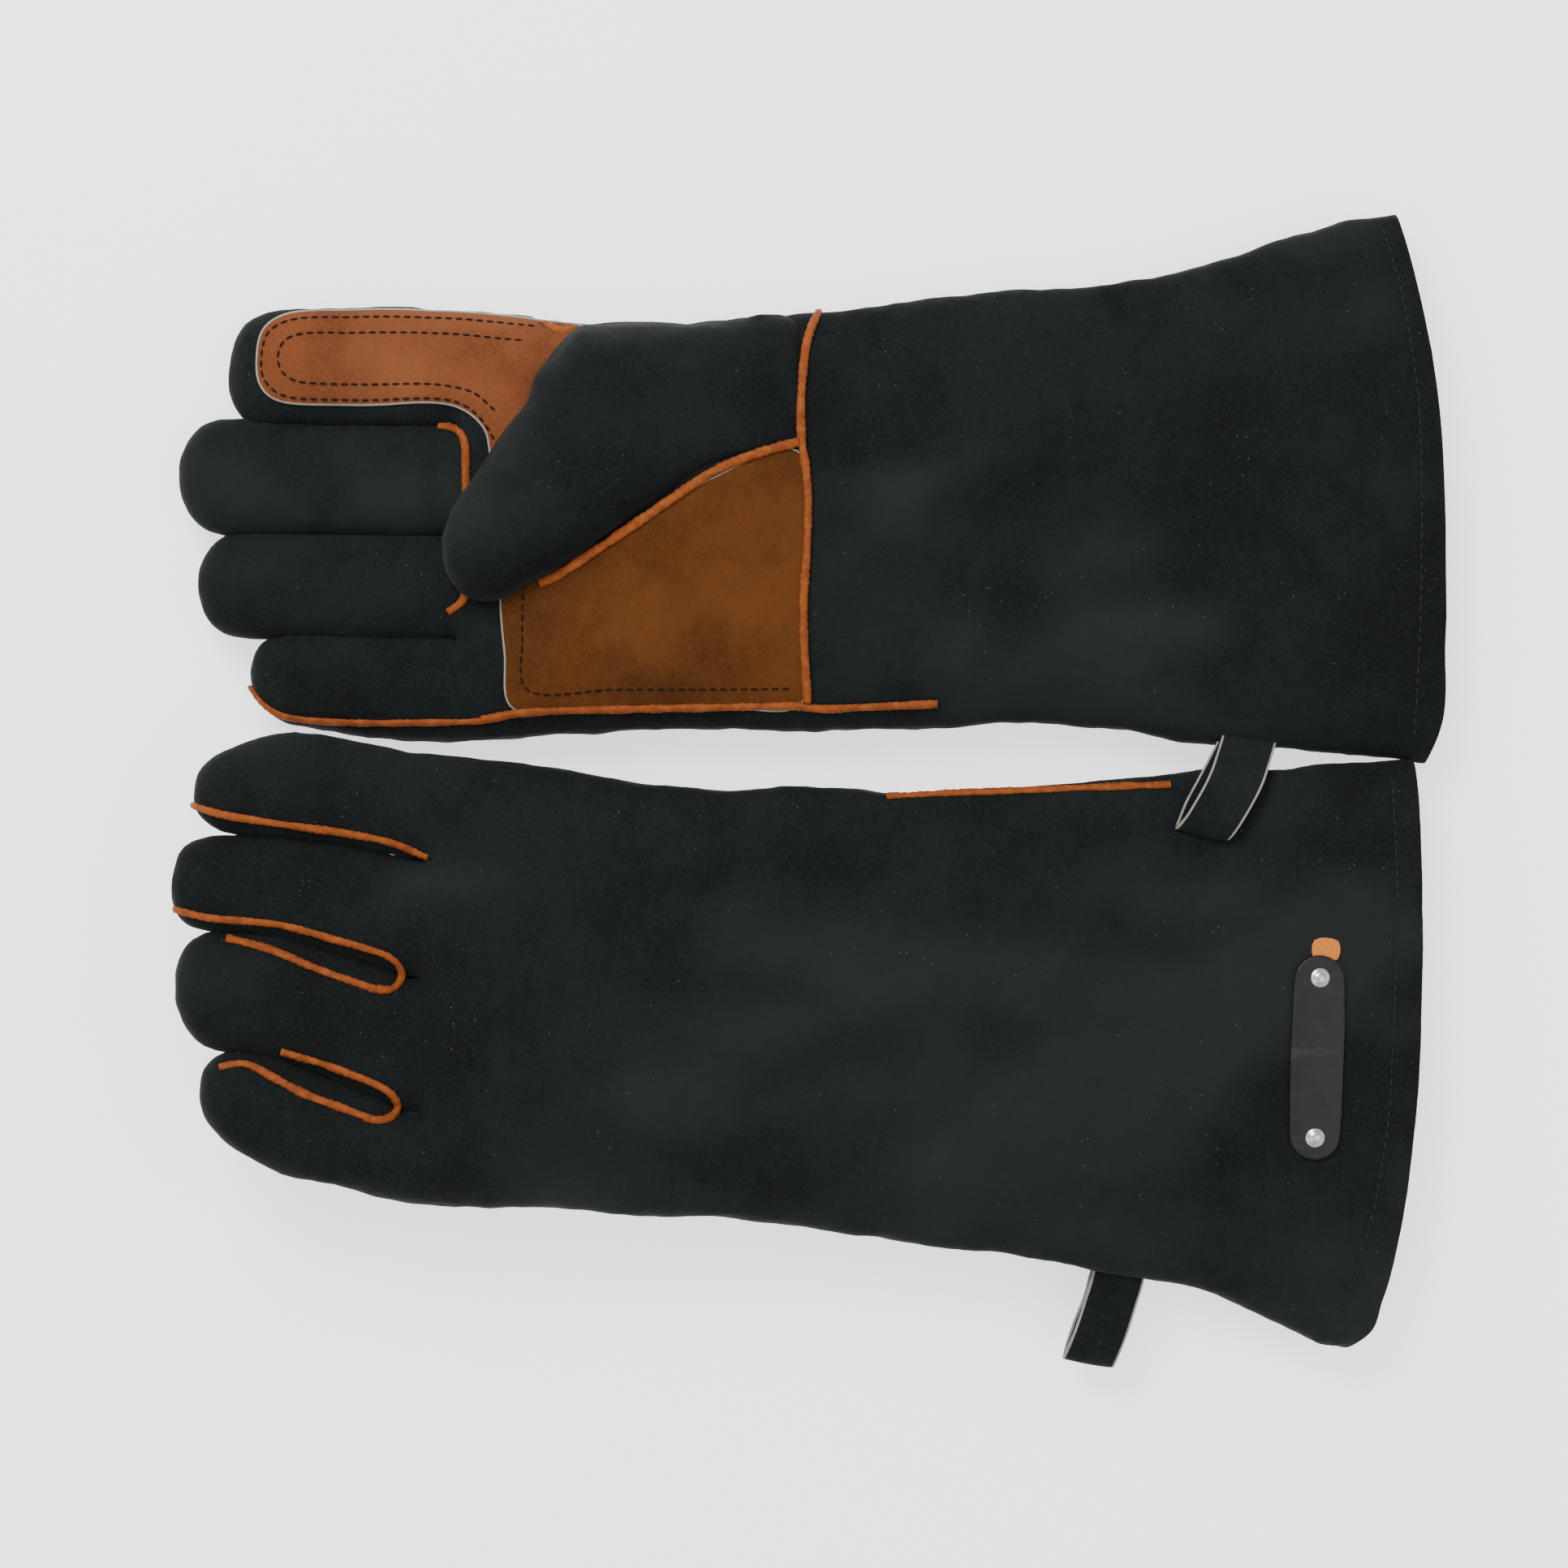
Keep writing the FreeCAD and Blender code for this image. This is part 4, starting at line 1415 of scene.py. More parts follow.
    def follow_finger(self, piece: bpy.types.Object, finger: str) -> None:
        """Bake a finger's piece's placement into its mesh, so that it stays where it lies.

        Args:
            piece: The piece.
            finger: The finger's name.
        """
        middle = next(f for f in self.fingers if f.name == finger)
        low, high, _ = middle.run.at(np.array([self.crotch]))
        y = float(low[0] + high[0]) / 2
        self.spot(self.crotch + self.root, y)
        self.spot(self.crotch - self.bend_reach, y)
        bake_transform(piece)

    def follow_thumb(self, piece: bpy.types.Object) -> None:
        """Bake the thumb's piece's placement into its mesh, so that it stays where it lies.

        Args:
            piece: The piece.
        """
        x, y = self.thumb_base
        along, aside = math.cos(self.thumb_turn), math.sin(self.thumb_turn)
        self.spot(x + self.thumb_before * along, y + self.thumb_before * aside)
        self.spot(x - self.thumb_after * along, y - self.thumb_after * aside)
        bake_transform(piece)

    def thumb_piece(self, points: Array, faces: list, normals: Array) -> None:
        """The thumb's own piece.

        Args:
            points: The points, in millimetres.
            faces: The faces.
            normals: The points' normals.
        """
        piece = new_piece(f"{self.side}_thumb_leather", self.set_down(points), faces,
                          (Finish.BLACK,))
        self.follow_thumb(piece)
        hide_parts(*[f"{self.side}_thumb_{part}"
                             for part in ("outer", "inner", "lining", "wing")])

    def sew_patch(self, patch: Patch) -> None:
        """Lay a patch on the glove and give it its thickness and raw edge.

        Args:
            patch: The patch.
        """
        outline = flowing(patch.outline, patch.step, closed=True)
        plan, triangles, count = plan_mesh(outline, patch.grid, self.raw_band)
        gap = inset_distance(plan, outline)
        gap[:count] = 0.0
        base = np.array([self.bare.lay(x, y, patch.face)[0][2] for x, y in plan])
        crown = patch.edge_share + (1 - patch.edge_share) * step01(gap / patch.edge_width)
        waves = np.array([patch.wave * fractal(x, y, 5.0, patch.wave_size) for x, y in plan])
        swell = patch.thickness * crown + waves * step01(gap / patch.wave_width)
        upper = np.column_stack([plan, base + swell * patch.face])
        lower = np.column_stack([plan, base - patch.sunk * patch.face])
        faces = triangles if patch.face > 0 else [face[::-1] for face in triangles]
        points, solid, slots = walled(upper, faces, lower)
        for number, face in enumerate(faces):
            if max(face) < 2 * count:
                slots[number] = 2
        piece = new_piece(f"{self.side}_{patch.name}", self.set_down(points), solid,
                          (patch.finish, patch.finish, patch.rim), slots)
        self.fasten(piece, patch.finger, patch.nodes)
        LOG.info("%s_%s: %d faces", self.side, patch.name, len(solid))

    def sew_welt(self, welt: Welt) -> None:
        """Sweep a pinched half-round strip along a seam.

        Args:
            welt: The welt.
        """
        line = flowing(welt.path, welt.step)
        seats = [self.bare.lay(x, y, welt.face) for x, y in line]
        centre = np.array([seat for seat, _ in seats]) + (0.0, 0.0, welt.lift * welt.face)
        facing = np.array([normal for _, normal in seats])
        for _ in range(welt.passes):
            centre[1:-1] = (centre[:-2] + 2 * centre[1:-1] + centre[2:]) / 4
            facing[1:-1] = (facing[:-2] + 2 * facing[1:-1] + facing[2:]) / 4
        along = np.gradient(centre, axis=0)
        along /= np.linalg.norm(along, axis=1, keepdims=True)
        facing /= np.linalg.norm(facing, axis=1, keepdims=True)
        across = np.cross(facing, along)
        turns = np.linspace(0, 2 * math.pi, welt.sides + 1)[:-1]
        beat = np.arange(len(line)) * welt.step / welt.pinch_pitch * 2 * math.pi
        pinch = 1.0 + welt.pinch * np.sin(beat)
        pinch *= np.array([1.0 + welt.wave * fractal(x, y, 3.0, welt.wave_size)
                           for x, y in line])
        rings = []
        for turn in turns:
            out = welt.width / 2 * math.cos(turn)
            rise = welt.height * math.sin(turn) + welt.seat
            rings.append(centre + across * (out * pinch)[:, None]
                         + facing * (rise * pinch)[:, None])
        points = np.stack(rings, 1).reshape(-1, 3)
        faces = [face[::-1] for face in rings_to_faces(len(line), len(turns))]
        faces.append(tuple(range(len(turns))))
        faces.append(tuple(range(len(points) - len(turns), len(points)))[::-1])
        piece = new_piece(f"{self.side}_{welt.name}", self.set_down(points), faces,
                          (Finish.WELT,))
        self.fasten(piece, welt.finger, welt.nodes)

    def sew_seams(self) -> None:
        """Lay the rows of stitches, one mesh for each thread and body."""
        groups: dict[tuple[Finish, str, str], list[Array]] = {}
        for seam in self.seams:
            line = flowing(seam.path, 1.0, seam.closed)
            if seam.closed:
                line = np.concatenate([line, line[:1]])
            laid = np.array([self.stitch_seat(x, y, seam) for x, y in line])
            groups.setdefault((seam.finish, seam.name, seam.finger), []).append(
                self.set_down(laid))
        for (finish, name, finger), lines in groups.items():
            piece = StitchTree(finish).sew(f"{self.side}_{name}", lines, STITCH_PITCH,
                                           STITCH_LENGTH, THREAD)
            self.fasten(piece, finger, ())

    def stitch_seat(self, x: float, y: float, seam: Seam) -> tuple[float, float, float]:
        """Where a stitch lies: on the glove, or on the patch that covers it there."""
        raise_by = ON_PATCH if seam.finish is Finish.DARK_THREAD else ON_SKIN
        return x, y, self.bare.lay(x, y, seam.face)[0][2] + raise_by * seam.face


@dataclass
class Strap:
    """A hang loop: a strap folded back on itself, with raw edges."""

    side: str
    path: tuple[tuple[float, float, float], ...]
    width: tuple[float, float, float]
    thickness: float = 1.5
    step: float = 1.0
    columns: int = 13
    raw_share: float = 0.92
    wave: float = 0.35
    wave_size: float = 9.0
    sag: float = 0.5

    def build(self) -> None:
        """Make the strap along its folded path, in the pair's frame."""
        line = flowing(self.path, self.step)
        half = np.array(self.width) / 2
        along = np.gradient(line, axis=0)
        along /= np.linalg.norm(along, axis=1, keepdims=True)
        side = half / np.linalg.norm(half)
        facing = np.cross(along, side)
        facing /= np.linalg.norm(facing, axis=1, keepdims=True)
        middle = np.linspace(-self.raw_share, self.raw_share, self.columns)
        shares = np.concatenate([[-1.0], middle, [1.0]])
        columns = len(shares)
        outer, inner = [], []
        for share in shares:
            place = line + half * share
            wave = np.array([self.wave * fractal(x, y, z, self.wave_size) for x, y, z in place])
            sag = facing * (wave - self.sag * share * share)[:, None]
            outer.append(place + sag + facing * self.thickness / 2)
            inner.append(place + sag - facing * self.thickness / 2)
        rows = len(line)
        faces = [(c * rows + r, c * rows + r + 1, (c + 1) * rows + r + 1, (c + 1) * rows + r)
                 for c in range(columns - 1) for r in range(rows - 1)]
        points, solid, slots = walled(np.concatenate(outer), [f[::-1] for f in faces],
                                      np.concatenate(inner))
        for number in range(2 * len(faces)):
            column = (number % len(faces)) // (rows - 1)
            slots[number] = 2 if column in (0, columns - 2) else 0
        piece = new_piece(f"{self.side}_hang_loop_strap", points * MM, solid,
                          (Finish.BLACK, Finish.BLACK, Finish.RAW), slots)
        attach(piece, f"{self.side}_loop")
        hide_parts(f"{self.side}_hang_loop")


@dataclass
class NameTag:
    """A glossy blank tag held by two domed rivets, with a cloth flag beside it."""

    glove: Glove
    middle: Point = (161.4, -83.5)
    lean: float = -1.6
    length: float = 65.0
    width: float = 16.0
    rivet: float = 3.1
    pitch: float = 50.6
    arc_steps: int = 9
    head_steps: int = 28
    head_lift: float = 1.5

    def outline(self, inset: float) -> tuple[Point, ...]:
        """The tag's rounded-end outline, set in by some distance.

        Args:
            inset: How far in, in millimetres.

        Returns:
            The outline's points.
        """
        half, radius = self.length / 2 - self.width / 2, self.width / 2 - inset
        result = []
        for centre, start in ((half, 0.0), (-half, math.pi)):
            for turn in np.linspace(start, start + math.pi, self.arc_steps):
                result.append(self.turned(radius * math.cos(turn),
                                          centre + radius * math.sin(turn)))
        return tuple(result)

    def turned(self, across: float, along: float) -> Point:
        """A place on the tag in the glove's plan."""
        lean = math.radians(self.lean)
        return (self.middle[0] + across * math.cos(lean) - along * math.sin(lean),
                self.middle[1] + across * math.sin(lean) + along * math.cos(lean))

    def build(self) -> None:
        """Make the tag, the flag and the two rivet heads."""
        glove = self.glove
        for patch in (
            Patch("name_tag_plate", self.outline(0.0), 1, Finish.TAG, "glossy_leather",
                  ("name_tag",), 1.7, "", Finish.TAG),
            Patch("orange_flag", ((160.4, -52.0), (160.6, -46.2), (168.3, -46.6), (168.0, -52.4)),
                  1, Finish.FLAG, "orange_cloth", ("flag",), 0.9, "", Finish.FLAG),
        ):
            glove.sew_patch(patch)
        shapes = []
        for sign in (1, -1):
            x, y = self.turned(0.0, sign * self.pitch / 2)
            seat, normal = glove.bare.lay(x, y, 1)
            shapes.append(self.head(seat + normal * self.head_lift, normal))
        points, faces = joined(shapes)
        piece = new_piece("left_tag_rivet_heads", glove.set_down(points), faces, (Finish.NICKEL,))
        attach(piece, "left_hand")
        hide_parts("left_tag_rivets")

    def head(self, seat: Array, normal: Array) -> tuple[Array, list]:
        """One rivet head: a flat rim under a dome.

        Args:
            seat: The middle of the head's foot.
            normal: The direction it faces.

        Returns:
            Points in millimetres and faces.
        """
        profile = ((1.0, -0.8), (1.0, 0.35), (0.93, 0.55), (0.84, 0.6), (0.72, 0.95),
                   (0.5, 1.4), (0.25, 1.65), (0.06, 1.72))
        turn = Vector((0, 0, 1)).rotation_difference(Vector(normal)).to_matrix()
        steps = self.head_steps
        points = []
        for share, rise in profile:
            for k in range(steps):
                angle = 2 * math.pi * k / steps
                spot = turn @ Vector((self.rivet * share * math.cos(angle),
                                      self.rivet * share * math.sin(angle), rise))
                points.append(seat + np.array(spot))
        faces = rings_to_faces(len(profile), steps)
        faces.append(tuple(range(steps))[::-1])
        faces.append(tuple(range(len(points) - steps, len(points))))
        return np.array(points), faces


@dataclass
class Studio:
    """The floor, the soft lights and the camera straight above."""

    middle: Point = (-7.1, 3.3)
    height: float = 1.414
    lens: float = 100.0
    floor_half: float = 6.0
    floor_drop: float = 0.0006

    def build(self) -> None:
        """Make the floor, lights and camera."""
        half = self.floor_half
        corners = [(x, y, -self.floor_drop)
                   for x, y in ((-half, -half), (half, -half), (half, half), (-half, half))]
        floor = new_piece("floor", np.array(corners), [(0, 1, 2, 3)], ())
        shader = Shader("pale_floor")
        floor.data.materials.append(shader.finish((0.93, 0.93, 0.93, 1.0), 0.9,
                                                  Emission_Color=(1.0, 1.0, 1.0, 1.0),
                                                  Emission_Strength=1.3))
        world = bpy.data.worlds.new("studio")
        world.use_nodes = True
        world.node_tree.nodes["Background"].inputs["Color"].default_value = (1, 1, 1, 1)
        world.node_tree.nodes["Background"].inputs["Strength"].default_value = 0.75
        bpy.context.scene.world = world
        for name, place, size, power in (
            ("key", (-0.5, 0.9, 1.3), 0.8, 26.0),
            ("fill", (0.9, -0.3, 1.4), 1.4, 9.0),
            ("front", (-0.9, -0.8, 1.2), 1.2, 5.0),
        ):
            light = bpy.data.lights.new(name, "AREA")
            light.size = size
            light.energy = power
            lamp = bpy.data.objects.new(name, light)
            lamp.location = place
            lamp.rotation_euler = (-Vector(place)).to_track_quat("-Z", "Y").to_euler()
            bpy.context.scene.collection.objects.link(lamp)
        camera = bpy.data.cameras.new("camera")
        camera.lens = self.lens
        camera.sensor_width = 36.0
        eye = bpy.data.objects.new("camera", camera)
        eye.location = (self.middle[0] * MM, self.middle[1] * MM, self.height)
        bpy.context.scene.collection.objects.link(eye)
        bpy.context.scene.camera = eye


# ------------------------------------------------------------------ the pair's own sizes
PAIR_STEP = -154.6      # from the right glove's wrist to the left one's, across
THUMB = ((-2.0, 113.5), (-2.0, 135.0), (-4.0, 152.5), (-40.0, 151.5), (-72.0, 150.0),
         (-80.0, 141.5), (-92.5, 121.7), (-105.0, 103.5), (-115.2, 88.0), (-116.8, 75.0),
         (-110.0, 64.0), (-99.0, 61.5), (-81.4, 69.3), (-55.5, 88.0), (-29.5, 105.0))


def across(points: Sequence[Point], step: float) -> tuple[Point, ...]:
    """The same plan, moved across."""
    return tuple((x, y + step) for x, y in points)


def right_glove() -> Glove:
    """The right-hand glove, palm up.

    Returns:
        The glove.
    """
    hand = Run(((-116, 17, 155.6, 11), (-76, 18.6, 152.1, 12.6), (-50, 19.8, 151.6, 12.8),
                (-24, 19.6, 153.2, 12.4), (2, 19.1, 155.8, 11.6), (33, 20.3, 159.1, 11.4),
                (64, 20.7, 163, 11.4), (98, 19.4, 165.6, 11.4), (126, 15.7, 170.8, 11.4),
                (157, 13.2, 179.4, 11.4), (184, 11.3, 186.1, 11), (204, 9.8, 186.8, 10.4)))
    fingers = (
        Finger("index", -186.1, Run(((-190, 120.5, 152.5, 9), (-165, 120.2, 156.3, 10),
                                     (-144, 119.9, 156.8, 10.5), (-118, 118.9, 156.2, 11),
                                     (-90, 117, 155, 8.5)))),
        Finger("middle", -201.7, Run(((-202, 86, 117.3, 8.5), (-185, 85.2, 117.6, 10),
                                      (-150, 85, 117.2, 10.5), (-118, 83.7, 117.6, 11),
                                      (-90, 82, 119, 8.5)))),
        Finger("ring", -196.2, Run(((-197, 53.5, 82, 8.5), (-180, 53, 82.2, 10),
                                    (-150, 52.2, 82, 10.5), (-118, 50.8, 82.2, 11),
                                    (-90, 49, 84, 8.5)))),
        Finger("little", -178.8, Run(((-180, 24.5, 49.6, 8.5), (-160, 20.6, 49.5, 10),
                                      (-138, 18.4, 49, 10.5), (-118, 17, 49.5, 11),
                                      (-90, 18.3, 51, 8.5)))))
    index_patch = ((-176, 140), (-174, 149), (-167, 154.2), (-144, 155.8), (-112, 155.2),
                   (-84, 152.4), (-70, 149), (-72, 132), (-84, 116), (-99, 101), (-101, 108),
                   (-103, 116.5), (-112.6, 123.8), (-144, 124.2), (-170, 126), (-175, 131))
    palm_patch = ((-97.8, 62), (-96.5, 45), (-94.2, 27.4), (-60, 27.6), (-30, 28), (-1.6, 28.6),
                  (-1.6, 60), (-2.4, 109.4), (-30, 101), (-56, 84), (-82, 70), (-97, 72))
    hem = ((185, 180), (190, 160), (194.3, 134), (196, 110), (196.2, 70), (195.4, 40),
           (194.6, 20))
    return Glove(
        "right", 1, hand, fingers, THUMB,
        ((9, 198.5), (20, 202.8), (50, 204.2), (90, 204.2), (120, 202.6), (145, 199.1),
         (169, 193.9), (187, 189.3)),
        (Fold(((-70, 48), (-50, 66), (-30, 86)), 2.6, -1.3),
         Fold(((-66, 82), (-48, 67), (-32, 52)), 2.6, -1.3),
         Fold(((-96, 141), (-84, 132)), 4.0, 1.6), Fold(((-100, 132), (-88, 124)), 4.0, -1.4),
         Fold(((6, 40), (9, 90), (5, 150)), 5.0, -1.1),
         Fold(((40, 60), (90, 66), (150, 58)), 9.0, -1.2),
         Fold(((60, 110), (110, 118), (170, 112)), 12.0, 1.3),
         Fold(((97, 160), (101, 150)), 3.5, -2.6),
         Fold(((-150, 90), (-149, 112)), 4.0, -1.1), Fold(((-146, 57), (-147, 78)), 4.0, -1.2),
         Fold(((-140, 24), (-142, 44)), 4.0, -1.1), Fold(((-148, 128), (-147, 150)), 4.0, -0.9),
         Fold(((-118, 88), (-118, 112)), 4.0, -1.0), Fold(((-120, 56), (-119, 78)), 4.0, -1.0)),
        (Patch("index_finger_patch", index_patch, 1, Finish.BROWN, "brown_patch",
               ("index_patch",), 1.3, "index"),
         Patch("palm_reinforcement", palm_patch, 1, Finish.TAN, "tan_palm", ("palm_patch",))),
        (Welt("wrist_welt_strip", ((4, 155), (0.5, 146), (-1.6, 128), (-1.6, 113.9), (0.4, 98.3),
                                   (0.2, 80), (-0.9, 62), (-0.6, 45), (0.4, 29)), 1, 2.8,
              ("wrist_welt",), "", 0.9),
         Welt("thumb_seam_welt", ((-85, 67), (-78.5, 70), (-68, 77), (-55, 85.6), (-41.4, 95),
                                  (-28.8, 103.2), (-14, 109), (-2.4, 112.2)), 1, 3.2,
              (), "", 1.3),
         Welt("finger_base_welt", ((-118, 118), (-112, 117.2), (-109.2, 113.5), (-108.7, 105),
                                   (-108.7, 90), (-108.7, 70), (-109.4, 62), (-114.4, 58.4)), 1),
         Welt("little_side_seam_welt", ((-178.5, 34.5), (-174, 29), (-168, 25.4), (-149, 23.2),
                                        (-125, 23), (-102, 23.8), (-92, 26)), 1, 2.4, (), "little"),
         Welt("palm_side_seam_welt", ((-104, 24), (-92, 26), (-60, 27.2), (-30, 27.8), (-2.2, 28.2),
                                      (4.3, 27.4), (20, 28), (42, 29)), 1, 2.8,
              ("little_side_welt",), "", 0.8),
         Welt("thumb_side_seam_welt", ((-84, 151), (-78, 147.5), (-73, 149.5)), 1, 3.0,
              ("thumb_side_welt",))),
        (*[Seam("hem_stitches", hem, face, Finish.GREY_THREAD) for face in (1, -1)],
         Seam("index_patch_stitches", ((-96, 105), (-99.5, 113), (-105, 121), (-113, 125.6),
                                       (-144, 126), (-168, 127.8), (-173.4, 133), (-174, 141),
                                       (-172, 147.6), (-165.6, 151.6), (-144, 152.8), (-112, 152.2),
                                       (-88, 150)), 1, Finish.DARK_THREAD, False, "index"),
         Seam("index_patch_stitches", ((-100, 123), (-106, 128), (-116, 130.6), (-144, 131),
                                       (-164, 132.4), (-168, 136), (-168.6, 141), (-166.6, 145),
                                       (-162, 147), (-144, 147.6), (-112, 147), (-92, 145)), 1,
              Finish.DARK_THREAD, False, "index"),
         Seam("palm_patch_stitches", ((-90, 66), (-90.4, 50), (-89.2, 33.6), (-60, 33.4),
                                      (-30, 33.4), (-6.6, 33.6)), 1)),
        crotch=-112.0, cuff_start=120.0)


def left_glove() -> Glove:
    """The left-hand glove, back up, lying on its folded thumb.

    Returns:
        The glove.
    """
    hand = Run(((-122, -129.3, 12.5, 11), (-102, -131.5, 11, 12), (-76, -132.8, 9.2, 12.6),
                (-50, -134.4, 4.4, 12.8), (-24, -135.7, 2.4, 12.4), (2, -139.6, 4, 11.6),
                (28, -143.2, 2.2, 11.4), (54, -147.6, 3, 11.4), (80, -151.3, 5.1, 11.4),
                (111, -156.2, 7.3, 11.4), (132, -161.1, 9, 11.4), (158, -171, 10, 11.4),
                (180, -176.5, 11, 11), (196, -178, 11.4, 10.4)))
    fingers = (
        Finger("index", -193.9, Run(((-194, -11.4, 12, 8.5), (-185, -11.2, 14, 9.5),
                                     (-165, -12.2, 18.6, 10), (-144, -14.4, 16.8, 10.5),
                                     (-130, -18, 14, 11), (-112, -22, 12, 10.9),
                                     (-90, -22, 10, 8.5)))),
        Finger("middle", -201.4, Run(((-202, -40.4, -14, 8.5), (-185, -41.4, -14.2, 9.5),
                                      (-165, -43.4, -15.6, 10), (-154, -47.5, -16.6, 10.3),
                                      (-136, -52.9, -19.6, 10.8), (-127, -58, -21, 11),
                                      (-112, -60, -18, 10.9), (-90, -60, -16, 8.5)))),
        Finger("ring", -199.4, Run(((-200, -75.6, -45.6, 8.5), (-185, -78.8, -44.4, 9.5),
                                    (-165, -82.4, -46.2, 10), (-152, -88.2, -50.8, 10.3),
                                    (-136, -94.4, -55.6, 10.8), (-128, -100.4, -57, 11),
                                    (-112, -102, -56, 10.9), (-90, -102, -54, 8.5)))),
        Finger("little", -192.1, Run(((-193, -107, -82.4, 8.5), (-185, -110.5, -82.2, 9.5),
                                      (-165, -119.6, -85.2, 10), (-152, -123.3, -91, 10.3),
                                      (-136, -127.2, -97.2, 10.8), (-128, -128.7, -99.6, 11),
                                      (-112, -131, -98, 10.9), (-90, -132, -97, 8.5)))))
    index_patch = ((-184, 5), (-183, 10.5), (-176, 13.5), (-165, 15), (-144, 13.4), (-118, 9.5),
                   (-90, 4), (-76, -4), (-76, -24), (-88, -40), (-99, -53), (-101, -47),
                   (-104, -36), (-112, -25), (-124, -14), (-144, -9.8), (-165, -7.6),
                   (-179, -6.6), (-183.6, -1))
    palm_patch = across(((-97.8, 62), (-96.5, 45), (-94.2, 31.2), (-60, 29.4), (-30, 28.4),
                         (0, 25.6), (-0.6, 60), (-1.4, 112), (-30, 103.5), (-56, 87), (-82, 70),
                         (-97, 72)), PAIR_STEP)
    hem = ((187, 4), (187.4, -40), (186.4, -80), (183.6, -112), (178, -140), (170, -166))
    return Glove(
        "left", -1, hand, fingers, across(THUMB, PAIR_STEP - 3.0),
        ((-178, 173.1), (-174, 178.5), (-161, 184), (-141, 189), (-106, 194), (-70, 196.2),
         (-30, 196.4), (0, 195.6), (12, 195)),
        (Fold(((-108, -20), (-104, -50), (-106, -90)), 6.0, -1.5),
         Fold(((-119, -21), (-108, -30), (-100, -34)), 6.5, -1.5),
         Fold(((-126, -58), (-112, -62), (-98, -60)), 8.0, -1.1),
         Fold(((-128, -100), (-112, -101), (-98, -98)), 8.0, -1.1),
         Fold(((-92, -30), (-86, -70), (-90, -110)), 9.0, 1.6),
         Fold(((-60, -20), (-30, -45), (10, -50)), 8.0, -1.0),
         Fold(((-40, -100), (0, -108), (50, -110)), 9.0, -1.1),
         Fold(((10, -70), (60, -60), (120, -66)), 13.0, 1.3),
         Fold(((60, -120), (110, -118), (160, -130)), 8.0, -1.1),
         Fold(((-60, -126), (-40, -120), (-20, -124)), 5.0, 1.2),
         Fold(((-153, -48), (-156, -20)), 4.0, -1.1), Fold(((-150, -88), (-155, -54)), 4.0, -1.2),
         Fold(((-150, -120), (-156, -96)), 4.0, -1.1), Fold(((-150, -12), (-148, 14)), 4.0, -1.0)),
        (Patch("index_finger_patch", index_patch, -1, Finish.BROWN, "brown_patch",
               ("index_patch",), 1.3, "index"),
         Patch("palm_reinforcement", palm_patch, -1, Finish.TAN, "tan_palm", ("palm_patch",))),
        (Welt("index_seam_welt", ((-193.4, -3.4), (-186.6, -5.6), (-172.4, -8.2), (-143.8, -12.4),
                                  (-130, -15.4), (-120, -19.8)), 1, 2.6, (), "index"),
         Welt("middle_seam_welt", ((-199, -36), (-188, -38.6), (-176, -39.6), (-165, -41),
                                   (-150, -45.2), (-138, -48.6), (-131, -51.4), (-127.8, -56.4),
                                   (-130.8, -61.4), (-138.6, -60.8)), 1, 2.6, (), "middle"),
         Welt("ring_seam_welt", ((-183, -45.2), (-169.7, -48.6), (-154.2, -55), (-144, -58.6),
                                 (-136, -61.4)), 1, 2.6, (), "ring"),
         Welt("ring_lower_welt", ((-166, -80.5), (-151.6, -85), (-136, -91), (-130.8, -94.4),
                                  (-129.2, -99.4), (-133.4, -102.4), (-139.9, -101.6)), 1, 2.6, (),
              "ring"),
         Welt("little_seam_welt", ((-185, -85.6), (-177.5, -84.4), (-168.4, -88.8), (-159.4, -93.6),
                                   (-148, -98), (-138, -101.8)), 1, 2.6, (), "little"),
         Welt("thumb_side_seam_welt", ((25.1, -0.8), (45, 0.2), (66.6, 1), (90, 2), (116, 3)), 1,
              2.6, ("thumb_side_welt",)),
         Welt("little_side_seam_welt", ((-100, -127), (-60, -129), (-20, -131), (20, -137),
                                        (60, -143)), -1, 2.6, ("little_side_welt",)),
         Welt("wrist_welt_strip", across(((0.5, 154), (-1.6, 128), (-1.6, 113.9), (0.4, 98.3),
                                          (-0.9, 62), (-0.6, 45), (0.4, 24)), PAIR_STEP), -1, 2.8,
              ("wrist_welt",), "", 0.9),
         Welt("thumb_seam_welt", across(((-96, 57), (-84, 63.4), (-55.5, 82.4), (-29.5, 99.6),
                                         (-2.4, 108.6)), PAIR_STEP), -1, 3.2, (), "", 1.3)),
        (*[Seam("hem_stitches", hem, face, Finish.GREY_THREAD) for face in (1, -1)],
         Seam("palm_patch_stitches", across(((-90, 66), (-90.4, 50), (-89.2, 33.6), (-60, 33.4),
                                             (-30, 32.4), (-6.6, 30.6)), PAIR_STEP), -1)),
        crotch=-121.0, cuff_start=120.0, tilt=3.97, level=27.8, thumb_base=(-64.7, -36.0))


def main() -> None:
    """Build the pair and the studio."""
    logging.basicConfig(level=logging.INFO, format="%(name)s: %(message)s")
    Studio().build()
    right, left = right_glove(), left_glove()
    right.build()
    left.build()
    NameTag(left).build()
    Strap("right", ((143, 20, 15), (140, 13, 24), (136, 4, 32.5), (131.5, -4, 34.8),
                    (127.6, -10, 35.4), (125.4, -12.6, 33.4), (126, -11, 31.4), (128.6, -4.4, 31.2),
                    (132.6, 2.4, 28.6), (138, 11, 20.6), (142, 17.6, 12.4)), (17, -3.5, 0)).build()
    Strap("left", ((101, -149, 21.4), (99.4, -156, 21), (98, -161, 19.8), (95.4, -169, 20.6),
                   (92.6, -177, 19.4), (90.8, -181.6, 16.6), (90.6, -182.4, 13.8),
                   (91.6, -178.8, 12.2), (94.4, -170, 13.4), (97.4, -161.6, 15.6),
                   (99, -155, 17), (101, -149, 18)), (16.4, -2.6, 0)).build()


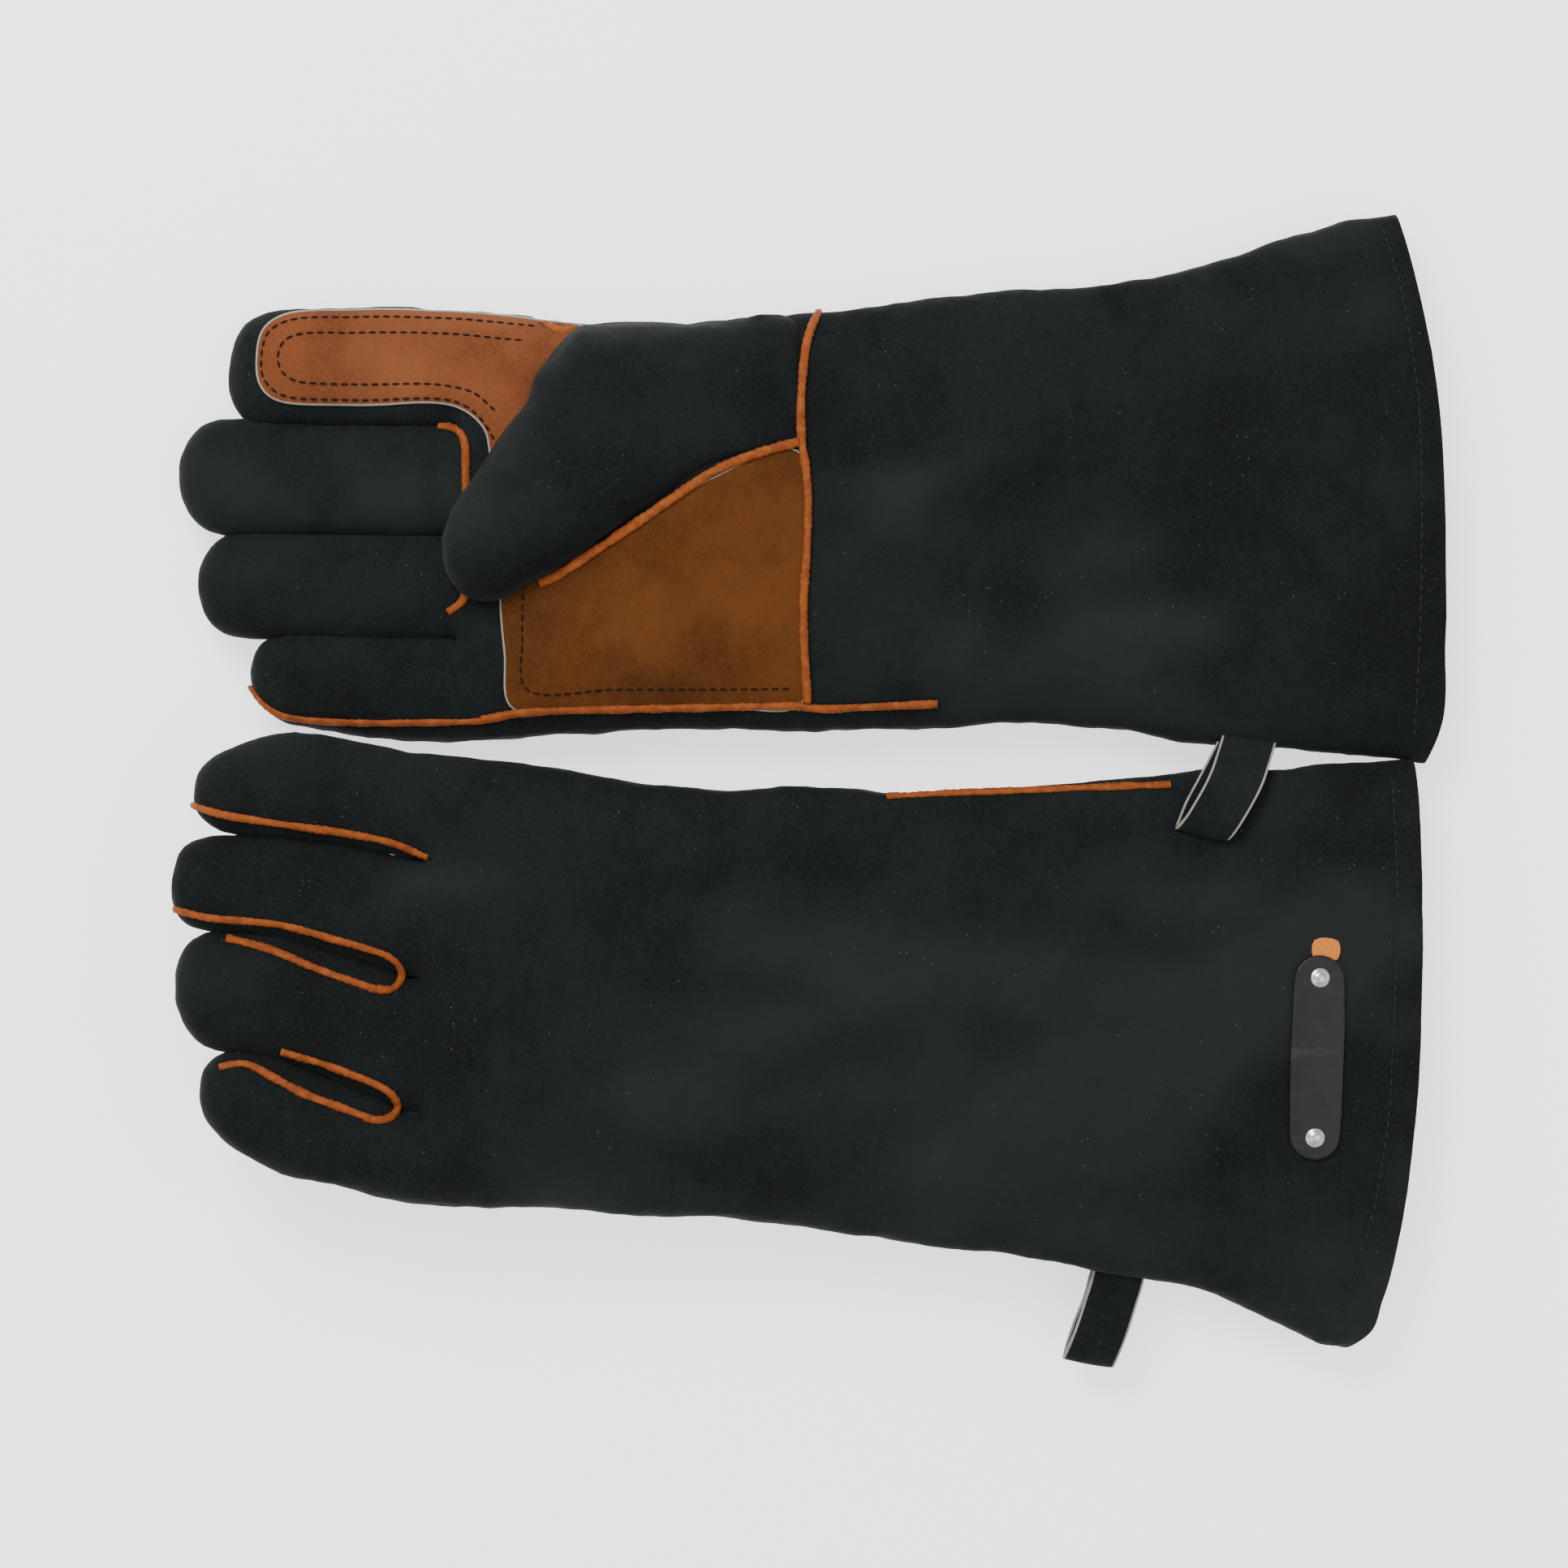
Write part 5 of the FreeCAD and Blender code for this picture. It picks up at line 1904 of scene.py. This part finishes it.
if __name__ == "__main__":
    main()
